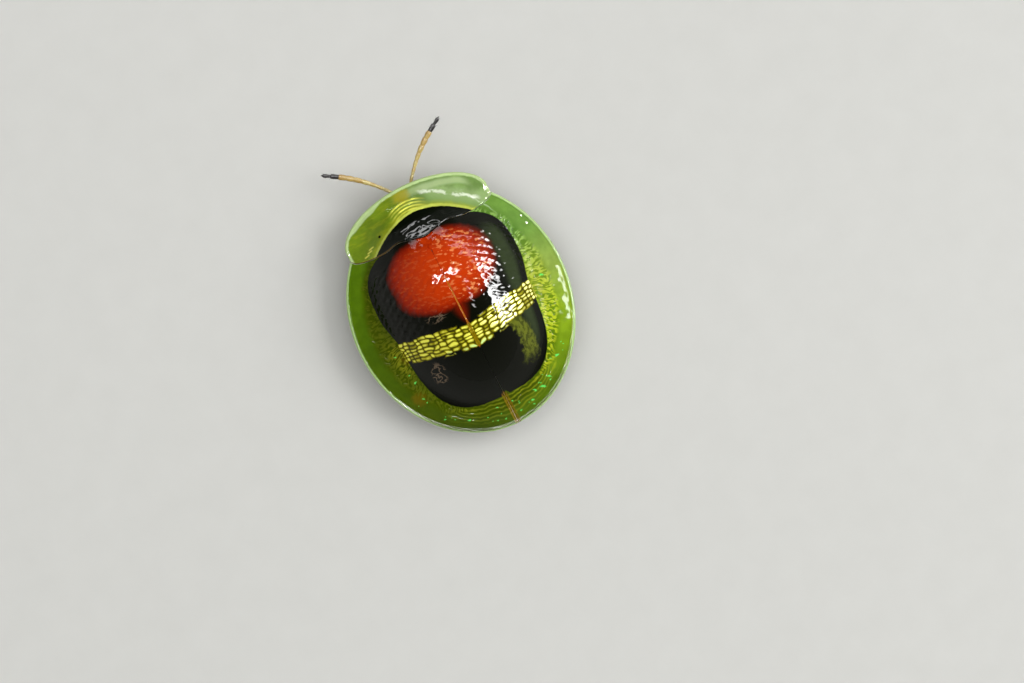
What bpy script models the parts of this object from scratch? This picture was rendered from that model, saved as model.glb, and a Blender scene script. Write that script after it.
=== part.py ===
# A tortoise beetle standing with its feelers out, life size, head toward -Y, floor at z = 0.
# Plan positions are worked out about the middle of the body, and one empty moves the whole
# beetle so that the origin is under the middle of its box.

import math

import bmesh
import bpy
import numpy as np
from mathutils import Matrix, Vector

MM = 0.001

# The shell seen from above
SHELL_LENGTH = 9.0 * MM
SHELL_WIDTH = 7.63 * MM
WIDEST_FROM_FRONT = 4.52 * MM
ELYTRA_FRONT_REACH = 4.24 * MM
PRONOTUM_WIDTH = 5.4 * MM
PRONOTUM_WIDEST_Y = -3.25 * MM
PRONOTUM_BASE_Y = -2.68 * MM
PRONOTUM_END = 0.987
PRONOTUM_CORNER_POWER = 4.0
BASE_SINUS = {"depth": 0.11 * MM, "x": 0.92 * MM, "spread": 0.36 * MM}
BASE_LOBE = {"depth": 0.1 * MM, "spread": 0.3 * MM}

# The shell seen from the side
SHELL_HEIGHT = 3.7 * MM
DOME_FOOT_HEIGHT = 1.1 * MM
DOME_CENTRE_Y = -0.68 * MM
DOME_HALF_WIDTH = 2.83 * MM
DOME_FRONT_REACH = 4.15 * MM
DOME_REAR_REACH = 4.3 * MM
DOME_REAR_POWER = 2.5
DOME_FRONT_FULLNESS = 1.05
DOME_REAR_FULLNESS = 0.85
MARGIN_EDGE_HEIGHT = 1.05 * MM
MARGIN_RISE = 0.9 * MM
FRONT_LIFT = 0.72 * MM
FRONT_LIFT_START_Y = -1.6 * MM
FRONT_LIFT_SPREAD = 1.9 * MM
DOME_BLEND = 0.22 * MM
SHOULDER = {"x": 1.95 * MM, "y": -1.95 * MM, "spread": 0.45 * MM, "height": 0.09 * MM}
PLATE = 0.46 * MM
GAP = 0.25 * MM

# The scutellum, between the bases of the elytra
SCUTELLUM_WIDTH = 0.72 * MM
SCUTELLUM_LENGTH = 0.53 * MM
SCUTELLUM_TAPER = 0.72
SCUTELLUM_TAPER_POWER = 1.3
NOTCH_LENGTH = 0.62 * MM
NOTCH_OPENING = 0.06 * MM
NOTCH_TAIL = 0.2 * MM

# The body under the shell
VENTER_HEIGHT = 1.42 * MM
FLANK_HEIGHT = 1.56 * MM
TAIL_START_Y = 0.9 * MM
TAIL_END_Y = 3.1 * MM
TAIL_DROP = 0.42 * MM
BODY_HALF_WIDTH = 2.0 * MM
BODY_FRONT_PART = 0.62
BODY_SWELL_RATE = 1.6
FLANK_ROUNDNESS = 0.6
SEGMENT_GROOVE = 0.05 * MM
BODY_SPANS = {
    "prosternum": (-2.62 * MM, -1.72 * MM, 1),
    "thorax": (-1.72 * MM + GAP, 0.62 * MM, 2),
    "abdomen": (0.62 * MM + GAP, 2.72 * MM, 5),
}

# The head, its face toward the floor in front
HEAD_CENTRE = Vector((0.0, -3.3, 1.0)) * MM
HEAD_HALF = Vector((0.78, 0.5, 0.54)) * MM
EYE_CENTRE = Vector((0.68, -3.34, 1.02)) * MM
EYE_HALF = Vector((0.2, 0.29, 0.3)) * MM
EYE_GAP = 0.2 * MM
LABRUM_CENTRE = Vector((0.0, -3.62, 0.6)) * MM
LABRUM_HALF = Vector((0.3, 0.2, 0.17)) * MM
MANDIBLE_CENTRE = Vector((0.2, -3.5, 0.54)) * MM
MANDIBLE_HALF = Vector((0.17, 0.17, 0.2)) * MM
PALP_PATH = ((0.34, -3.4, 0.7), (0.39, -3.48, 0.58), (0.36, -3.6, 0.5), (0.32, -3.68, 0.46))
PALP_RADII = (0.11 * MM, 0.12 * MM, 0.09 * MM, 0.05 * MM)

# The feelers: eleven joints from the face to the tip, out from under the pronotum
FEELER_BASE = Vector((0.4, -4.06, 0.93)) * MM
FEELER_UNDER_RIM = Vector((0.36, -4.52, 0.9)) * MM
FEELER_TIP = Vector((2.22, -6.09, 1.12)) * MM
FEELER_BOW = 0.1 * MM
FEELER_JOINTS = 11
FEELER_RADII = (0.15 * MM, 0.25 * MM, 0.13 * MM)
FEELER_HIDDEN = 0.16
FEELER_FULL = 0.39
FEELER_FATTEST = 0.62
FEELER_WAIST = 0.12

# The legs: coxa, knee, ankle and end of the foot, on the left side
FEMUR_RADII = (0.2 * MM, 0.28 * MM, 0.24 * MM)
TIBIA_RADII = (0.22 * MM, 0.24 * MM, 0.27 * MM)
COXA_RADIUS = 0.26 * MM
HIP_PART = 0.14
KNEE_RADIUS = 0.255 * MM
ANKLE_RADIUS = 0.28 * MM
FOOT_PAD_HALF = Vector((0.24, 0.2, 0.2)) * MM
FOOT_PAD_Z = 0.14 * MM
FOOT_PADS = ((0.13, 0.9), (0.47, 1.0), (0.8, 1.1))
CLAW_LENGTH = 0.26 * MM
CLAW_SUNK = 0.1 * MM
CLAW_BEND = 0.6
CLAW_DROP = 0.3
CLAW_RADII = (0.117 * MM, 0.09 * MM, 0.032 * MM)
CLAW_SPREAD = math.radians(24)
LEGS = {
    "front": ((0.52, -2.2, 0.91), (1.5, -2.62, 0.8), (1.98, -3.02, 0.36), (2.2, -3.5, 0.0)),
    "middle": ((0.74, -0.9, 0.91), (1.98, -1.02, 0.8), (2.58, -0.76, 0.36), (3.04, -0.5, 0.0)),
    "hind": ((0.8, 0.28, 0.91), (1.76, 1.34, 0.8), (2.04, 2.08, 0.36), (2.22, 2.6, 0.0)),
}

# How finely the curved forms are divided
ELYTRON_GRID = (16, 26)
PRONOTUM_GRID = (26, 9)
SCUTELLUM_GRID = (4, 4)
BODY_RING = 28
RINGS_A_SEGMENT = 3
RELAX_ROUNDS = 400
OUTLINE_SPLIT = math.radians(52)
SHARP = math.radians(40)
CUTTER_WIDTH = 20.0 * MM

# Colours of the animal, linear RGB with roughness and metallic
FINISHES = {
    "gold_green_cuticle": ((0.22, 0.34, 0.02), 0.28, 0.35),
    "black_red_cuticle": ((0.2, 0.012, 0.002), 0.22, 0.1),
    "dark_cuticle": ((0.012, 0.014, 0.004), 0.3, 0.0),
    "brown_cuticle": ((0.1, 0.035, 0.008), 0.45, 0.0),
    "amber_cuticle": ((0.5, 0.25, 0.05), 0.4, 0.0),
    "eye_black": ((0.01, 0.008, 0.006), 0.15, 0.0),
}

half_width = SHELL_WIDTH / 2
front_reach = WIDEST_FROM_FRONT
rear_reach = SHELL_LENGTH - WIDEST_FROM_FRONT
pronotum_half = PRONOTUM_WIDTH / 2
dome_rise = SHELL_HEIGHT - DOME_FOOT_HEIGHT


def clear_scene():
    for old in list(bpy.data.objects):
        bpy.data.objects.remove(old, do_unlink=True)


def make_materials():
    made = {}
    for name, (colour, roughness, metallic) in FINISHES.items():
        material = bpy.data.materials.new(name)
        material.use_nodes = True
        shader = material.node_tree.nodes["Principled BSDF"]
        shader.inputs["Base Color"].default_value = (*colour, 1.0)
        shader.inputs["Roughness"].default_value = roughness
        shader.inputs["Metallic"].default_value = metallic
        made[name] = material
    return made


# Height of the shell's upper face


def smooth_step(t):
    t = min(max(t, 0.0), 1.0)
    return t * t * (3.0 - 2.0 * t)


def smooth_max(a, b, blend):
    return 0.5 * (a + b + math.sqrt((a - b) ** 2 + blend**2))


def margin_height(x, y):
    """The flat brim, which slopes down to its edge and lifts over the head."""
    reach = front_reach if y < 0.0 else rear_reach
    spread = (x / half_width) ** 2 + (y / reach) ** 2
    lift = smooth_step((FRONT_LIFT_START_Y - y) / (FRONT_LIFT_START_Y + front_reach))
    arch = 0.45 + 0.55 * math.exp(-((x / FRONT_LIFT_SPREAD) ** 2))
    return MARGIN_EDGE_HEIGHT + MARGIN_RISE * (1.0 - spread) + FRONT_LIFT * lift * arch


def dome_height(x, y):
    """The raised disc, longer and squarer behind its top than in front."""
    ahead = y < DOME_CENTRE_Y
    reach = DOME_FRONT_REACH if ahead else DOME_REAR_REACH
    power = 2.0 if ahead else DOME_REAR_POWER
    along = abs(y - DOME_CENTRE_Y) / reach
    across = abs(x) / DOME_HALF_WIDTH
    fill = max(0.0, 1.0 - along**power - across**2)
    fullness = DOME_REAR_FULLNESS
    if ahead:
        fullness += (DOME_FRONT_FULLNESS - DOME_REAR_FULLNESS) * smooth_step(2.0 * along)
    return DOME_FOOT_HEIGHT + dome_rise * fill**fullness


def shell_height(x, y):
    top = smooth_max(dome_height(x, y), margin_height(x, y), DOME_BLEND)
    away = (abs(x) - SHOULDER["x"]) ** 2 + (y - SHOULDER["y"]) ** 2
    return top + SHOULDER["height"] * math.exp(-away / SHOULDER["spread"] ** 2)


def depth_below(x, y, depth):
    """Height of the surface that lies a given depth under the shell, measured square to it."""
    step = 0.02 * MM
    slope_x = (shell_height(x + step, y) - shell_height(x - step, y)) / (2 * step)
    slope_y = (shell_height(x, y + step) - shell_height(x, y - step)) / (2 * step)
    return shell_height(x, y) - depth * math.sqrt(1.0 + slope_x**2 + slope_y**2)


# Plan outlines, on the left side, where x is positive


def pronotum_front(x):
    return PRONOTUM_WIDEST_Y - (PRONOTUM_WIDEST_Y + front_reach) * math.sqrt(
        max(0.0, 1.0 - (x / pronotum_half) ** 2)
    )


def pronotum_rear(x):
    power = PRONOTUM_CORNER_POWER
    corner = max(0.0, 1.0 - (abs(x) / pronotum_half) ** power) ** (1.0 / power)
    straight = PRONOTUM_WIDEST_Y + (PRONOTUM_BASE_Y - PRONOTUM_WIDEST_Y) * corner
    sinus = BASE_SINUS["depth"] * math.exp(-(((abs(x) - BASE_SINUS["x"]) / BASE_SINUS["spread"]) ** 2))
    lobe = BASE_LOBE["depth"] * math.exp(-((x / BASE_LOBE["spread"]) ** 2))
    return straight - sinus + lobe


def elytra_outline(angle):
    """A point of the elytra's outer edge: 90 degrees is the rear end, 0 the widest place."""
    reach = rear_reach if angle > 0.0 else ELYTRA_FRONT_REACH
    return np.array((half_width * math.cos(angle), reach * math.sin(angle)))


def behind_pronotum(x):
    """The point one gap behind the pronotum's rear edge, square to it."""
    step = 0.01 * MM
    slope = (pronotum_rear(x + step) - pronotum_rear(x - step)) / (2 * step)
    away = np.array((-slope, 1.0)) / math.hypot(slope, 1.0)
    return np.array((x, pronotum_rear(x))) + GAP * away


def shoulder_reach():
    """How far out the elytron follows the pronotum before it meets its own outer edge."""
    near, far = 0.5 * pronotum_half, 0.998 * pronotum_half
    for _ in range(40):
        middle = (near + far) / 2
        x, y = behind_pronotum(middle)
        outside = (x / half_width) ** 2 + (y / ELYTRA_FRONT_REACH) ** 2 > 1.0
        near, far = (near, middle) if outside else (middle, far)
    return near


def follow(points, t):
    """The point at fraction t of the length of a path."""
    lengths = np.concatenate(([0.0], np.cumsum(np.linalg.norm(np.diff(points, axis=0), axis=1))))
    at = t * lengths[-1]
    return np.array([np.interp(at, lengths, points[:, axis]) for axis in range(points.shape[1])])


def patch(seam, edge, front, rear, grid):
    """A plan grid filled in between four sides, then evened out."""
    across, along = grid
    plan = np.empty((across + 1, along + 1, 2))
    corners = (seam[0], edge[0], seam[-1], edge[-1])
    for i in range(across + 1):
        u = i / across
        for j in range(along + 1):
            w = j / along
            sides = (1 - u) * follow(seam, w) + u * follow(edge, w)
            ends = (1 - w) * follow(front, u) + w * follow(rear, u)
            mixed = (1 - w) * ((1 - u) * corners[0] + u * corners[1])
            mixed = mixed + w * ((1 - u) * corners[2] + u * corners[3])
            plan[i, j] = sides + ends - mixed
    for _ in range(RELAX_ROUNDS):
        around = plan[2:, 1:-1] + plan[:-2, 1:-1] + plan[1:-1, 2:] + plan[1:-1, :-2]
        plan[1:-1, 1:-1] = around / 4
    return plan


def elytron_plan():
    reach = shoulder_reach()
    start = SCUTELLUM_WIDTH / 2 + GAP
    front = np.array([behind_pronotum(x) for x in np.linspace(start, reach, 60)])
    tip = front[-1]
    tip_angle = -math.asin(min(1.0, -tip[1] / ELYTRA_FRONT_REACH))
    edge = np.array([elytra_outline(a) for a in np.linspace(tip_angle, OUTLINE_SPLIT, 60)])
    edge[0] = tip
    end_angle = math.acos(GAP / 2 / half_width)
    rear = np.array([elytra_outline(a) for a in np.linspace(end_angle, OUTLINE_SPLIT, 40)])
    base_y = front[0][1]
    seam = np.array(
        [
            front[0],
            (GAP / 2 + NOTCH_OPENING, base_y + NOTCH_LENGTH),
            (GAP / 2, base_y + NOTCH_LENGTH + NOTCH_TAIL),
            rear[0],
        ]
    )
    return patch(seam, edge, front, rear, ELYTRON_GRID)


def pronotum_plan():
    across, along = PRONOTUM_GRID
    plan = np.empty((across + 1, along + 1, 2))
    for i in range(across + 1):
        x = PRONOTUM_END * pronotum_half * math.sin(math.pi / 2 * (2 * i / across - 1))
        for j in range(along + 1):
            w = j / along
            plan[i, j] = (x, (1 - w) * pronotum_front(x) + w * pronotum_rear(x))
    return plan


def scutellum_plan():
    across, along = SCUTELLUM_GRID
    plan = np.empty((across + 1, along + 1, 2))
    front_y = pronotum_rear(0.0) + GAP
    for i in range(across + 1):
        for j in range(along + 1):
            w = j / along
            half = SCUTELLUM_WIDTH / 2 * (1 - SCUTELLUM_TAPER * w**SCUTELLUM_TAPER_POWER)
            plan[i, j] = ((2 * i / across - 1) * half, front_y + w * SCUTELLUM_LENGTH)
    return plan


# Objects


def new_object(name, mesh, material, home):
    obj = bpy.data.objects.new(name, mesh)
    obj.data.materials.append(material)
    home["parts"].objects.link(obj)
    obj.parent = home["root"]
    return obj


def plate(name, plan, side, material, home):
    """A curved plate of the shell: a grid laid on the shell's height, then thickened inward."""
    across, along = plan.shape[0] - 1, plan.shape[1] - 1
    shape = bmesh.new()
    bmesh.ops.create_grid(shape, x_segments=across, y_segments=along, size=1.0)
    for vert in shape.verts:
        i = round((vert.co.x + 1) / 2 * across)
        j = round((vert.co.y + 1) / 2 * along)
        x, y = plan[i, j]
        vert.co = (side * x, y, shell_height(x, y))
    if side < 0:
        bmesh.ops.reverse_faces(shape, faces=shape.faces)
    mesh = bpy.data.meshes.new(name)
    shape.to_mesh(mesh)
    shape.free()
    mesh.shade_smooth()
    obj = new_object(name, mesh, material, home)
    thicken = obj.modifiers.new("thickness", "SOLIDIFY")
    thicken.thickness = PLATE
    thicken.offset = -1.0
    thicken.use_even_offset = True
    return obj


def ball(name, centre, half, home, turn=None, segments=12, rings=8):
    """An ellipsoid among the helpers, with its size worked into the mesh."""
    shape = bmesh.new()
    bmesh.ops.create_uvsphere(shape, u_segments=segments, v_segments=rings, radius=1.0)
    place = Matrix.Translation(centre) @ (turn or Matrix()) @ Matrix.Diagonal((*half, 1.0))
    bmesh.ops.transform(shape, matrix=place, verts=shape.verts)
    mesh = bpy.data.meshes.new(name)
    shape.to_mesh(mesh)
    shape.free()
    obj = bpy.data.objects.new(name, mesh)
    home["helpers"].objects.link(obj)
    return obj


def tube(name, points, radii, home, sides=8):
    """A round limb through the points, made from a bevelled curve and closed as a mesh."""
    curve = bpy.data.curves.new(name, "CURVE")
    curve.dimensions = "3D"
    curve.bevel_depth = MM
    curve.bevel_resolution = (sides - 4) // 2
    curve.use_fill_caps = True
    spline = curve.splines.new("POLY")
    spline.points.add(len(points) - 1)
    for place, point, radius in zip(spline.points, points, radii):
        place.co = (*point, 1.0)
        place.radius = radius / MM
    bent = bpy.data.objects.new(name, curve)
    home["helpers"].objects.link(bent)
    graph = bpy.context.evaluated_depsgraph_get()
    mesh = bpy.data.meshes.new_from_object(bent.evaluated_get(graph))
    bpy.data.objects.remove(bent, do_unlink=True)
    shape = bmesh.new()
    shape.from_mesh(mesh)
    bmesh.ops.remove_doubles(shape, verts=shape.verts, dist=0.0005 * MM)
    bmesh.ops.recalc_face_normals(shape, faces=shape.faces)
    shape.to_mesh(mesh)
    shape.free()
    obj = bpy.data.objects.new(name, mesh)
    home["helpers"].objects.link(obj)
    return obj


def apply_boolean(obj, operation, pieces):
    """Joins or cuts with all the pieces at once, then clears them away."""
    group = bpy.data.collections.new("pieces")
    for piece in pieces:
        group.objects.link(piece)
    step = obj.modifiers.new(operation, "BOOLEAN")
    step.operation = operation
    step.operand_type = "COLLECTION"
    step.collection = group
    step.solver = "EXACT"
    bpy.context.view_layer.update()
    graph = bpy.context.evaluated_depsgraph_get()
    mesh = bpy.data.meshes.new_from_object(obj.evaluated_get(graph))
    obj.modifiers.clear()
    obj.data = mesh
    for piece in pieces:
        bpy.data.objects.remove(piece, do_unlink=True)
    bpy.data.collections.remove(group)


def keep_largest(obj):
    """Drops every loose scrap, so that one closed surface is left."""
    shape = bmesh.new()
    shape.from_mesh(obj.data)
    waiting = set(shape.verts)
    islands = []
    while waiting:
        found = {waiting.pop()}
        front = list(found)
        while front:
            for edge in front.pop().link_edges:
                for vert in edge.verts:
                    if vert not in found:
                        found.add(vert)
                        front.append(vert)
        waiting -= found
        islands.append(found)
    largest = max(islands, key=len)
    loose = [vert for island in islands if island is not largest for vert in island]
    bmesh.ops.delete(shape, geom=loose, context="VERTS")
    shape.to_mesh(obj.data)
    shape.free()


def fuse(name, pieces, material, home):
    """One node made of several closed pieces that run into one another."""
    first, *others = pieces
    if others:
        apply_boolean(first, "UNION", others)
    mesh = first.data.copy()
    bpy.data.objects.remove(first, do_unlink=True)
    mesh.materials.clear()
    obj = new_object(name, mesh, material, home)
    keep_largest(obj)
    mesh.shade_smooth()
    mesh.set_sharp_from_angle(angle=SHARP)
    return obj


def floor_cutter(home):
    """A block that takes off whatever would reach below the floor."""
    shape = bmesh.new()
    bmesh.ops.create_cube(shape, size=CUTTER_WIDTH)
    bmesh.ops.translate(shape, vec=(0.0, 0.0, -CUTTER_WIDTH / 2), verts=shape.verts)
    mesh = bpy.data.meshes.new("floor_cutter")
    shape.to_mesh(mesh)
    shape.free()
    obj = bpy.data.objects.new("floor_cutter", mesh)
    home["helpers"].objects.link(obj)
    return obj


# The shell's plates


def make_shell(finish, home):
    plate("pronotum", pronotum_plan(), 1, finish["gold_green_cuticle"], home)
    plate("scutellum", scutellum_plan(), 1, finish["dark_cuticle"], home)
    plan = elytron_plan()
    plate("elytron_left", plan, 1, finish["black_red_cuticle"], home)
    plate("elytron_right", plan, -1, finish["black_red_cuticle"], home)


# The body, in three lengths that fill the dome down to the belly


def body_half_width(y, flank):
    """Widest behind the middle legs, narrowing to both ends, and never past the shell's inside."""
    start, end = BODY_SPANS["prosternum"][0], BODY_SPANS["abdomen"][1]
    t = (y - start) / (end - start)
    grown = math.sin(math.pi / 2 * min(1.0, BODY_SWELL_RATE * t))
    swell = BODY_FRONT_PART + (1.0 - BODY_FRONT_PART) * grown
    near, far = 0.0, BODY_HALF_WIDTH * swell
    if depth_below(far, y, PLATE + GAP) > flank:
        return far
    for _ in range(30):
        middle = (near + far) / 2
        inside = depth_below(middle, y, PLATE + GAP) > flank
        near, far = (middle, far) if inside else (near, middle)
    return near


def body_ring(y, groove):
    """A closed section of the body at one place along it."""
    drop = TAIL_DROP * smooth_step((y - TAIL_START_Y) / (TAIL_END_Y - TAIL_START_Y))
    flank, venter = FLANK_HEIGHT - drop, VENTER_HEIGHT - drop + groove
    half = body_half_width(y, flank) - groove
    ring = []
    for k in range(BODY_RING):
        turn = 2 * math.pi * k / BODY_RING
        x = half * math.cos(turn)
        lift = abs(math.sin(turn)) ** FLANK_ROUNDNESS
        end = depth_below(x, y, PLATE + GAP) if turn < math.pi else venter
        ring.append((x, y, flank + (end - flank) * lift))
    return ring


def make_body(finish, home):
    for name, (start, end, segments) in BODY_SPANS.items():
        steps = RINGS_A_SEGMENT * segments
        rings = []
        for s in range(steps + 1):
            y = start + (end - start) * s / steps
            between = s % RINGS_A_SEGMENT == 0 and 0 < s < steps
            groove = SEGMENT_GROOVE if between else 0.0
            rings.append(body_ring(y, groove))
        shape = bmesh.new()
        loops = [[shape.verts.new(point) for point in ring] for ring in rings]
        for near, far in zip(loops, loops[1:]):
            for k in range(BODY_RING):
                n = (k + 1) % BODY_RING
                shape.faces.new((near[k], near[n], far[n], far[k]))
        shape.faces.new(loops[0])
        shape.faces.new(loops[-1])
        bmesh.ops.recalc_face_normals(shape, faces=shape.faces)
        mesh = bpy.data.meshes.new(name)
        shape.to_mesh(mesh)
        shape.free()
        mesh.shade_smooth()
        mesh.set_sharp_from_angle(angle=SHARP)
        new_object(name, mesh, finish["dark_cuticle" if name == "thorax" else "brown_cuticle"], home)


# The head, with sockets for the eyes


def mirrored(vector, side):
    return Vector((side * vector.x, vector.y, vector.z))


def make_head(finish, home):
    skull = ball("skull", HEAD_CENTRE, HEAD_HALF, home, segments=24, rings=12)
    pieces = [ball("labrum", LABRUM_CENTRE, LABRUM_HALF, home)]
    for side in (1, -1):
        jaw = mirrored(MANDIBLE_CENTRE, side)
        pieces.append(ball("mandible", jaw, MANDIBLE_HALF, home, segments=10, rings=6))
        joints = [mirrored(Vector(point) * MM, side) for point in PALP_PATH]
        pieces.append(tube("palp", joints, PALP_RADII, home))
    apply_boolean(skull, "UNION", pieces)
    socket = EYE_HALF + Vector((EYE_GAP,) * 3)
    sockets = [ball("socket", mirrored(EYE_CENTRE, s), socket, home, segments=18, rings=10) for s in (1, -1)]
    apply_boolean(skull, "DIFFERENCE", sockets)
    fuse("head", [skull], finish["amber_cuticle"], home)
    for name, side in (("left", 1), ("right", -1)):
        eye = ball("eye", mirrored(EYE_CENTRE, side), EYE_HALF, home, segments=16, rings=8)
        fuse(f"eye_{name}", [eye], finish["eye_black"], home)


# The feelers


def feeler_radius(t):
    """Thin at the root, fattest past the middle, with a narrow waist between joints."""
    root, fat, tip = FEELER_RADII
    if t < FEELER_FATTEST:
        return root + (fat - root) * smooth_step(t / FEELER_FULL)
    return fat + (tip - fat) * ((t - FEELER_FATTEST) / (1 - FEELER_FATTEST)) ** 2


def follow_feeler(t):
    """From the face forward under the rim, then outward in a slight bow."""
    if t < FEELER_HIDDEN:
        return FEELER_BASE.lerp(FEELER_UNDER_RIM, t / FEELER_HIDDEN)
    s = (t - FEELER_HIDDEN) / (1 - FEELER_HIDDEN)
    bow = FEELER_BOW * math.sin(math.pi * s)
    return FEELER_UNDER_RIM.lerp(FEELER_TIP, s) + Vector((-bow, -bow, 0.0))


def feeler_front():
    """How far forward the end ring of a feeler reaches, which ends the beetle's box there."""
    aim = (follow_feeler(1.0) - follow_feeler(1.0 - 0.5 / FEELER_JOINTS)).normalized()
    return FEELER_TIP.y - FEELER_RADII[2] * math.sqrt(1.0 - aim.y**2)


def make_feeler(name, side, finish, home):
    path, radii = [], []
    for joint in range(FEELER_JOINTS):
        for part in (0.0, 0.5):
            t = (joint + part) / FEELER_JOINTS
            waist = 1.0 - FEELER_WAIST * (part == 0.0 and joint > 0)
            path.append(mirrored(follow_feeler(t), side))
            radii.append(feeler_radius(t) * waist)
    path.append(mirrored(follow_feeler(1.0), side))
    radii.append(feeler_radius(1.0))
    fuse(name, [tube(name, path, radii, home, sides=10)], finish["amber_cuticle"], home)


# The legs


def make_leg(name, points, side, finish, home):
    coxa, knee, ankle, toe = (mirrored(Vector(point) * MM, side) for point in points)
    hip = coxa.lerp(knee, HIP_PART)
    pieces = [ball("coxa", coxa, (COXA_RADIUS,) * 3, home)]
    thigh = [hip, hip.lerp(knee, 0.5), knee]
    pieces.append(tube("femur", thigh, FEMUR_RADII, home))
    pieces.append(ball("knee", knee, (KNEE_RADIUS,) * 3, home, segments=10, rings=6))
    shin = [knee, knee.lerp(ankle, 0.5), ankle]
    pieces.append(tube("tibia", shin, TIBIA_RADII, home))
    pieces.append(ball("ankle", ankle, (ANKLE_RADIUS,) * 3, home, segments=10, rings=6))
    start = Vector((ankle.x, ankle.y, FOOT_PAD_Z))
    end = Vector((toe.x, toe.y, FOOT_PAD_Z))
    heading = (end - start).normalized()
    turn = heading.to_track_quat("Y", "Z").to_matrix().to_4x4()
    for along, grow in FOOT_PADS:
        place = start.lerp(end, along)
        pieces.append(ball("pad", place, FOOT_PAD_HALF * grow, home, turn, segments=10, rings=6))
    root = end - CLAW_SUNK * heading
    for spread in (-CLAW_SPREAD, CLAW_SPREAD):
        aim = Matrix.Rotation(spread, 3, "Z") @ heading
        tip = root + CLAW_LENGTH * (aim - Vector((0.0, 0.0, CLAW_DROP)))
        claw = [root, root + CLAW_BEND * CLAW_LENGTH * aim, tip]
        pieces.append(tube("claw", claw, CLAW_RADII, home))
    first, *others = pieces
    apply_boolean(first, "UNION", others)
    apply_boolean(first, "DIFFERENCE", [floor_cutter(home)])
    fuse(name, [first], finish["amber_cuticle"], home)


def build():
    clear_scene()
    parts = bpy.data.collections.new("tortoise_beetle")
    helpers = bpy.data.collections.new("helpers")
    helpers.hide_render = True
    for collection in (parts, helpers):
        bpy.context.scene.collection.children.link(collection)
    root = bpy.data.objects.new("beetle_origin", None)
    parts.objects.link(root)
    home = {"parts": parts, "helpers": helpers, "root": root}
    finish = make_materials()
    make_shell(finish, home)
    make_body(finish, home)
    make_head(finish, home)
    for name, side in (("left", 1), ("right", -1)):
        make_feeler(f"antenna_{name}", side, finish, home)
        for place, points in LEGS.items():
            make_leg(f"leg_{place}_{name}", points, side, finish, home)
    root.location.y = -(feeler_front() + rear_reach) / 2


build()
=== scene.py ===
# A tortoise beetle, life size, standing on a pale floor and seen from straight above.
# Sizes are written in millimetres about the middle of its body, head toward -Y, and turned
# into metres in the frame of the solids when a mesh is made.

import math

import bmesh
import bpy
import numpy as np
from mathutils import Matrix, Vector


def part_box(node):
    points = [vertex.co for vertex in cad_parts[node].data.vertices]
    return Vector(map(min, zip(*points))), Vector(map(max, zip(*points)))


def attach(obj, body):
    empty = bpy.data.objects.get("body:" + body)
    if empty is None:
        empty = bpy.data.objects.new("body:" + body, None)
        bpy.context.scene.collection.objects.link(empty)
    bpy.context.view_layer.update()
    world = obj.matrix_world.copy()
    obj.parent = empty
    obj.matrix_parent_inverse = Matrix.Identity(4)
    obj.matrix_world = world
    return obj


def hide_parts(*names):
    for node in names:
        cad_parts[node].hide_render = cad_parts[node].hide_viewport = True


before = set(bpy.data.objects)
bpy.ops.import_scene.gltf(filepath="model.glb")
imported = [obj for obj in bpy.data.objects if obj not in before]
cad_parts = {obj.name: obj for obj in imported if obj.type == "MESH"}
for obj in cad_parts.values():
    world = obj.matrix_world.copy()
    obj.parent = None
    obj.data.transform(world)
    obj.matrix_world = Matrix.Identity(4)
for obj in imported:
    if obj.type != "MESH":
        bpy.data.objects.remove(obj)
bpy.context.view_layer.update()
mm = 0.001

beetle = {
    "halfWidth": 3.815,          # of the whole shell, seen from above
    "frontReach": 4.52,          # from the widest place to the front of the pronotum
    "rearReach": 4.48,
    "elytraFrontReach": 4.24,
    "height": 3.7,
    "pronotumHalf": 2.7,
    "pronotumWidestY": -3.25,
    "pronotumBaseY": -2.68,
    "cornerPower": 4.0,
    "baseSinus": (0.11, 0.92, 0.36),     # depth, place, spread
    "baseLobe": (0.1, 0.3),              # depth, spread
}
rise = {
    "foot": 1.1,
    "centreY": -0.68,
    "halfWidth": 2.83,
    "frontReach": 4.15,
    "rearReach": 4.3,
    "rearPower": 2.5,
    "frontFullness": 1.05,
    "rearFullness": 0.85,
    "edgeHeight": 1.05,
    "brimRise": 0.9,
    "frontLift": 0.72,
    "liftStartY": -1.6,
    "liftSpread": 1.9,
    "archShare": 0.55,
    "blend": 0.22,
    "shoulder": (1.95, -1.95, 0.45, 0.09),    # x, y, spread, height
}
# the beetle stands with the middle of its box over the origin, so the body's middle is off it
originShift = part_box("elytron_left")[1].y / mm - beetle["rearReach"]
bothSides = ((1, "left"), (-1, "right"))


# Shader sockets that can be used in sums


class Value:
    def __init__(self, paint, socket):
        self.paint = paint
        self.socket = socket

    def math(self, operation, *others):
        values = dict(enumerate((self,) + others))
        return self.paint.node("ShaderNodeMath", {"operation": operation}, values)

    def __add__(self, other):
        return self.math("ADD", other)

    def __radd__(self, other):
        return self.math("ADD", other)

    def __sub__(self, other):
        return self.math("SUBTRACT", other)

    def __rsub__(self, other):
        values = {0: other, 1: self}
        return self.paint.node("ShaderNodeMath", {"operation": "SUBTRACT"}, values)

    def __mul__(self, other):
        return self.math("MULTIPLY", other)

    def __rmul__(self, other):
        return self.math("MULTIPLY", other)

    def __truediv__(self, other):
        return self.math("DIVIDE", other)

    def __pow__(self, other):
        return self.math("POWER", other)

    def __abs__(self):
        return self.math("ABSOLUTE")

    def most(self, other):
        return self.math("MAXIMUM", other)


def setStops(ramp, stops):
    while len(ramp.elements) < len(stops):
        ramp.elements.new(1.0)
    for element, (place, colour) in zip(ramp.elements, stops):
        element.position = place
        element.color = (*colour, 1.0)


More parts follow.
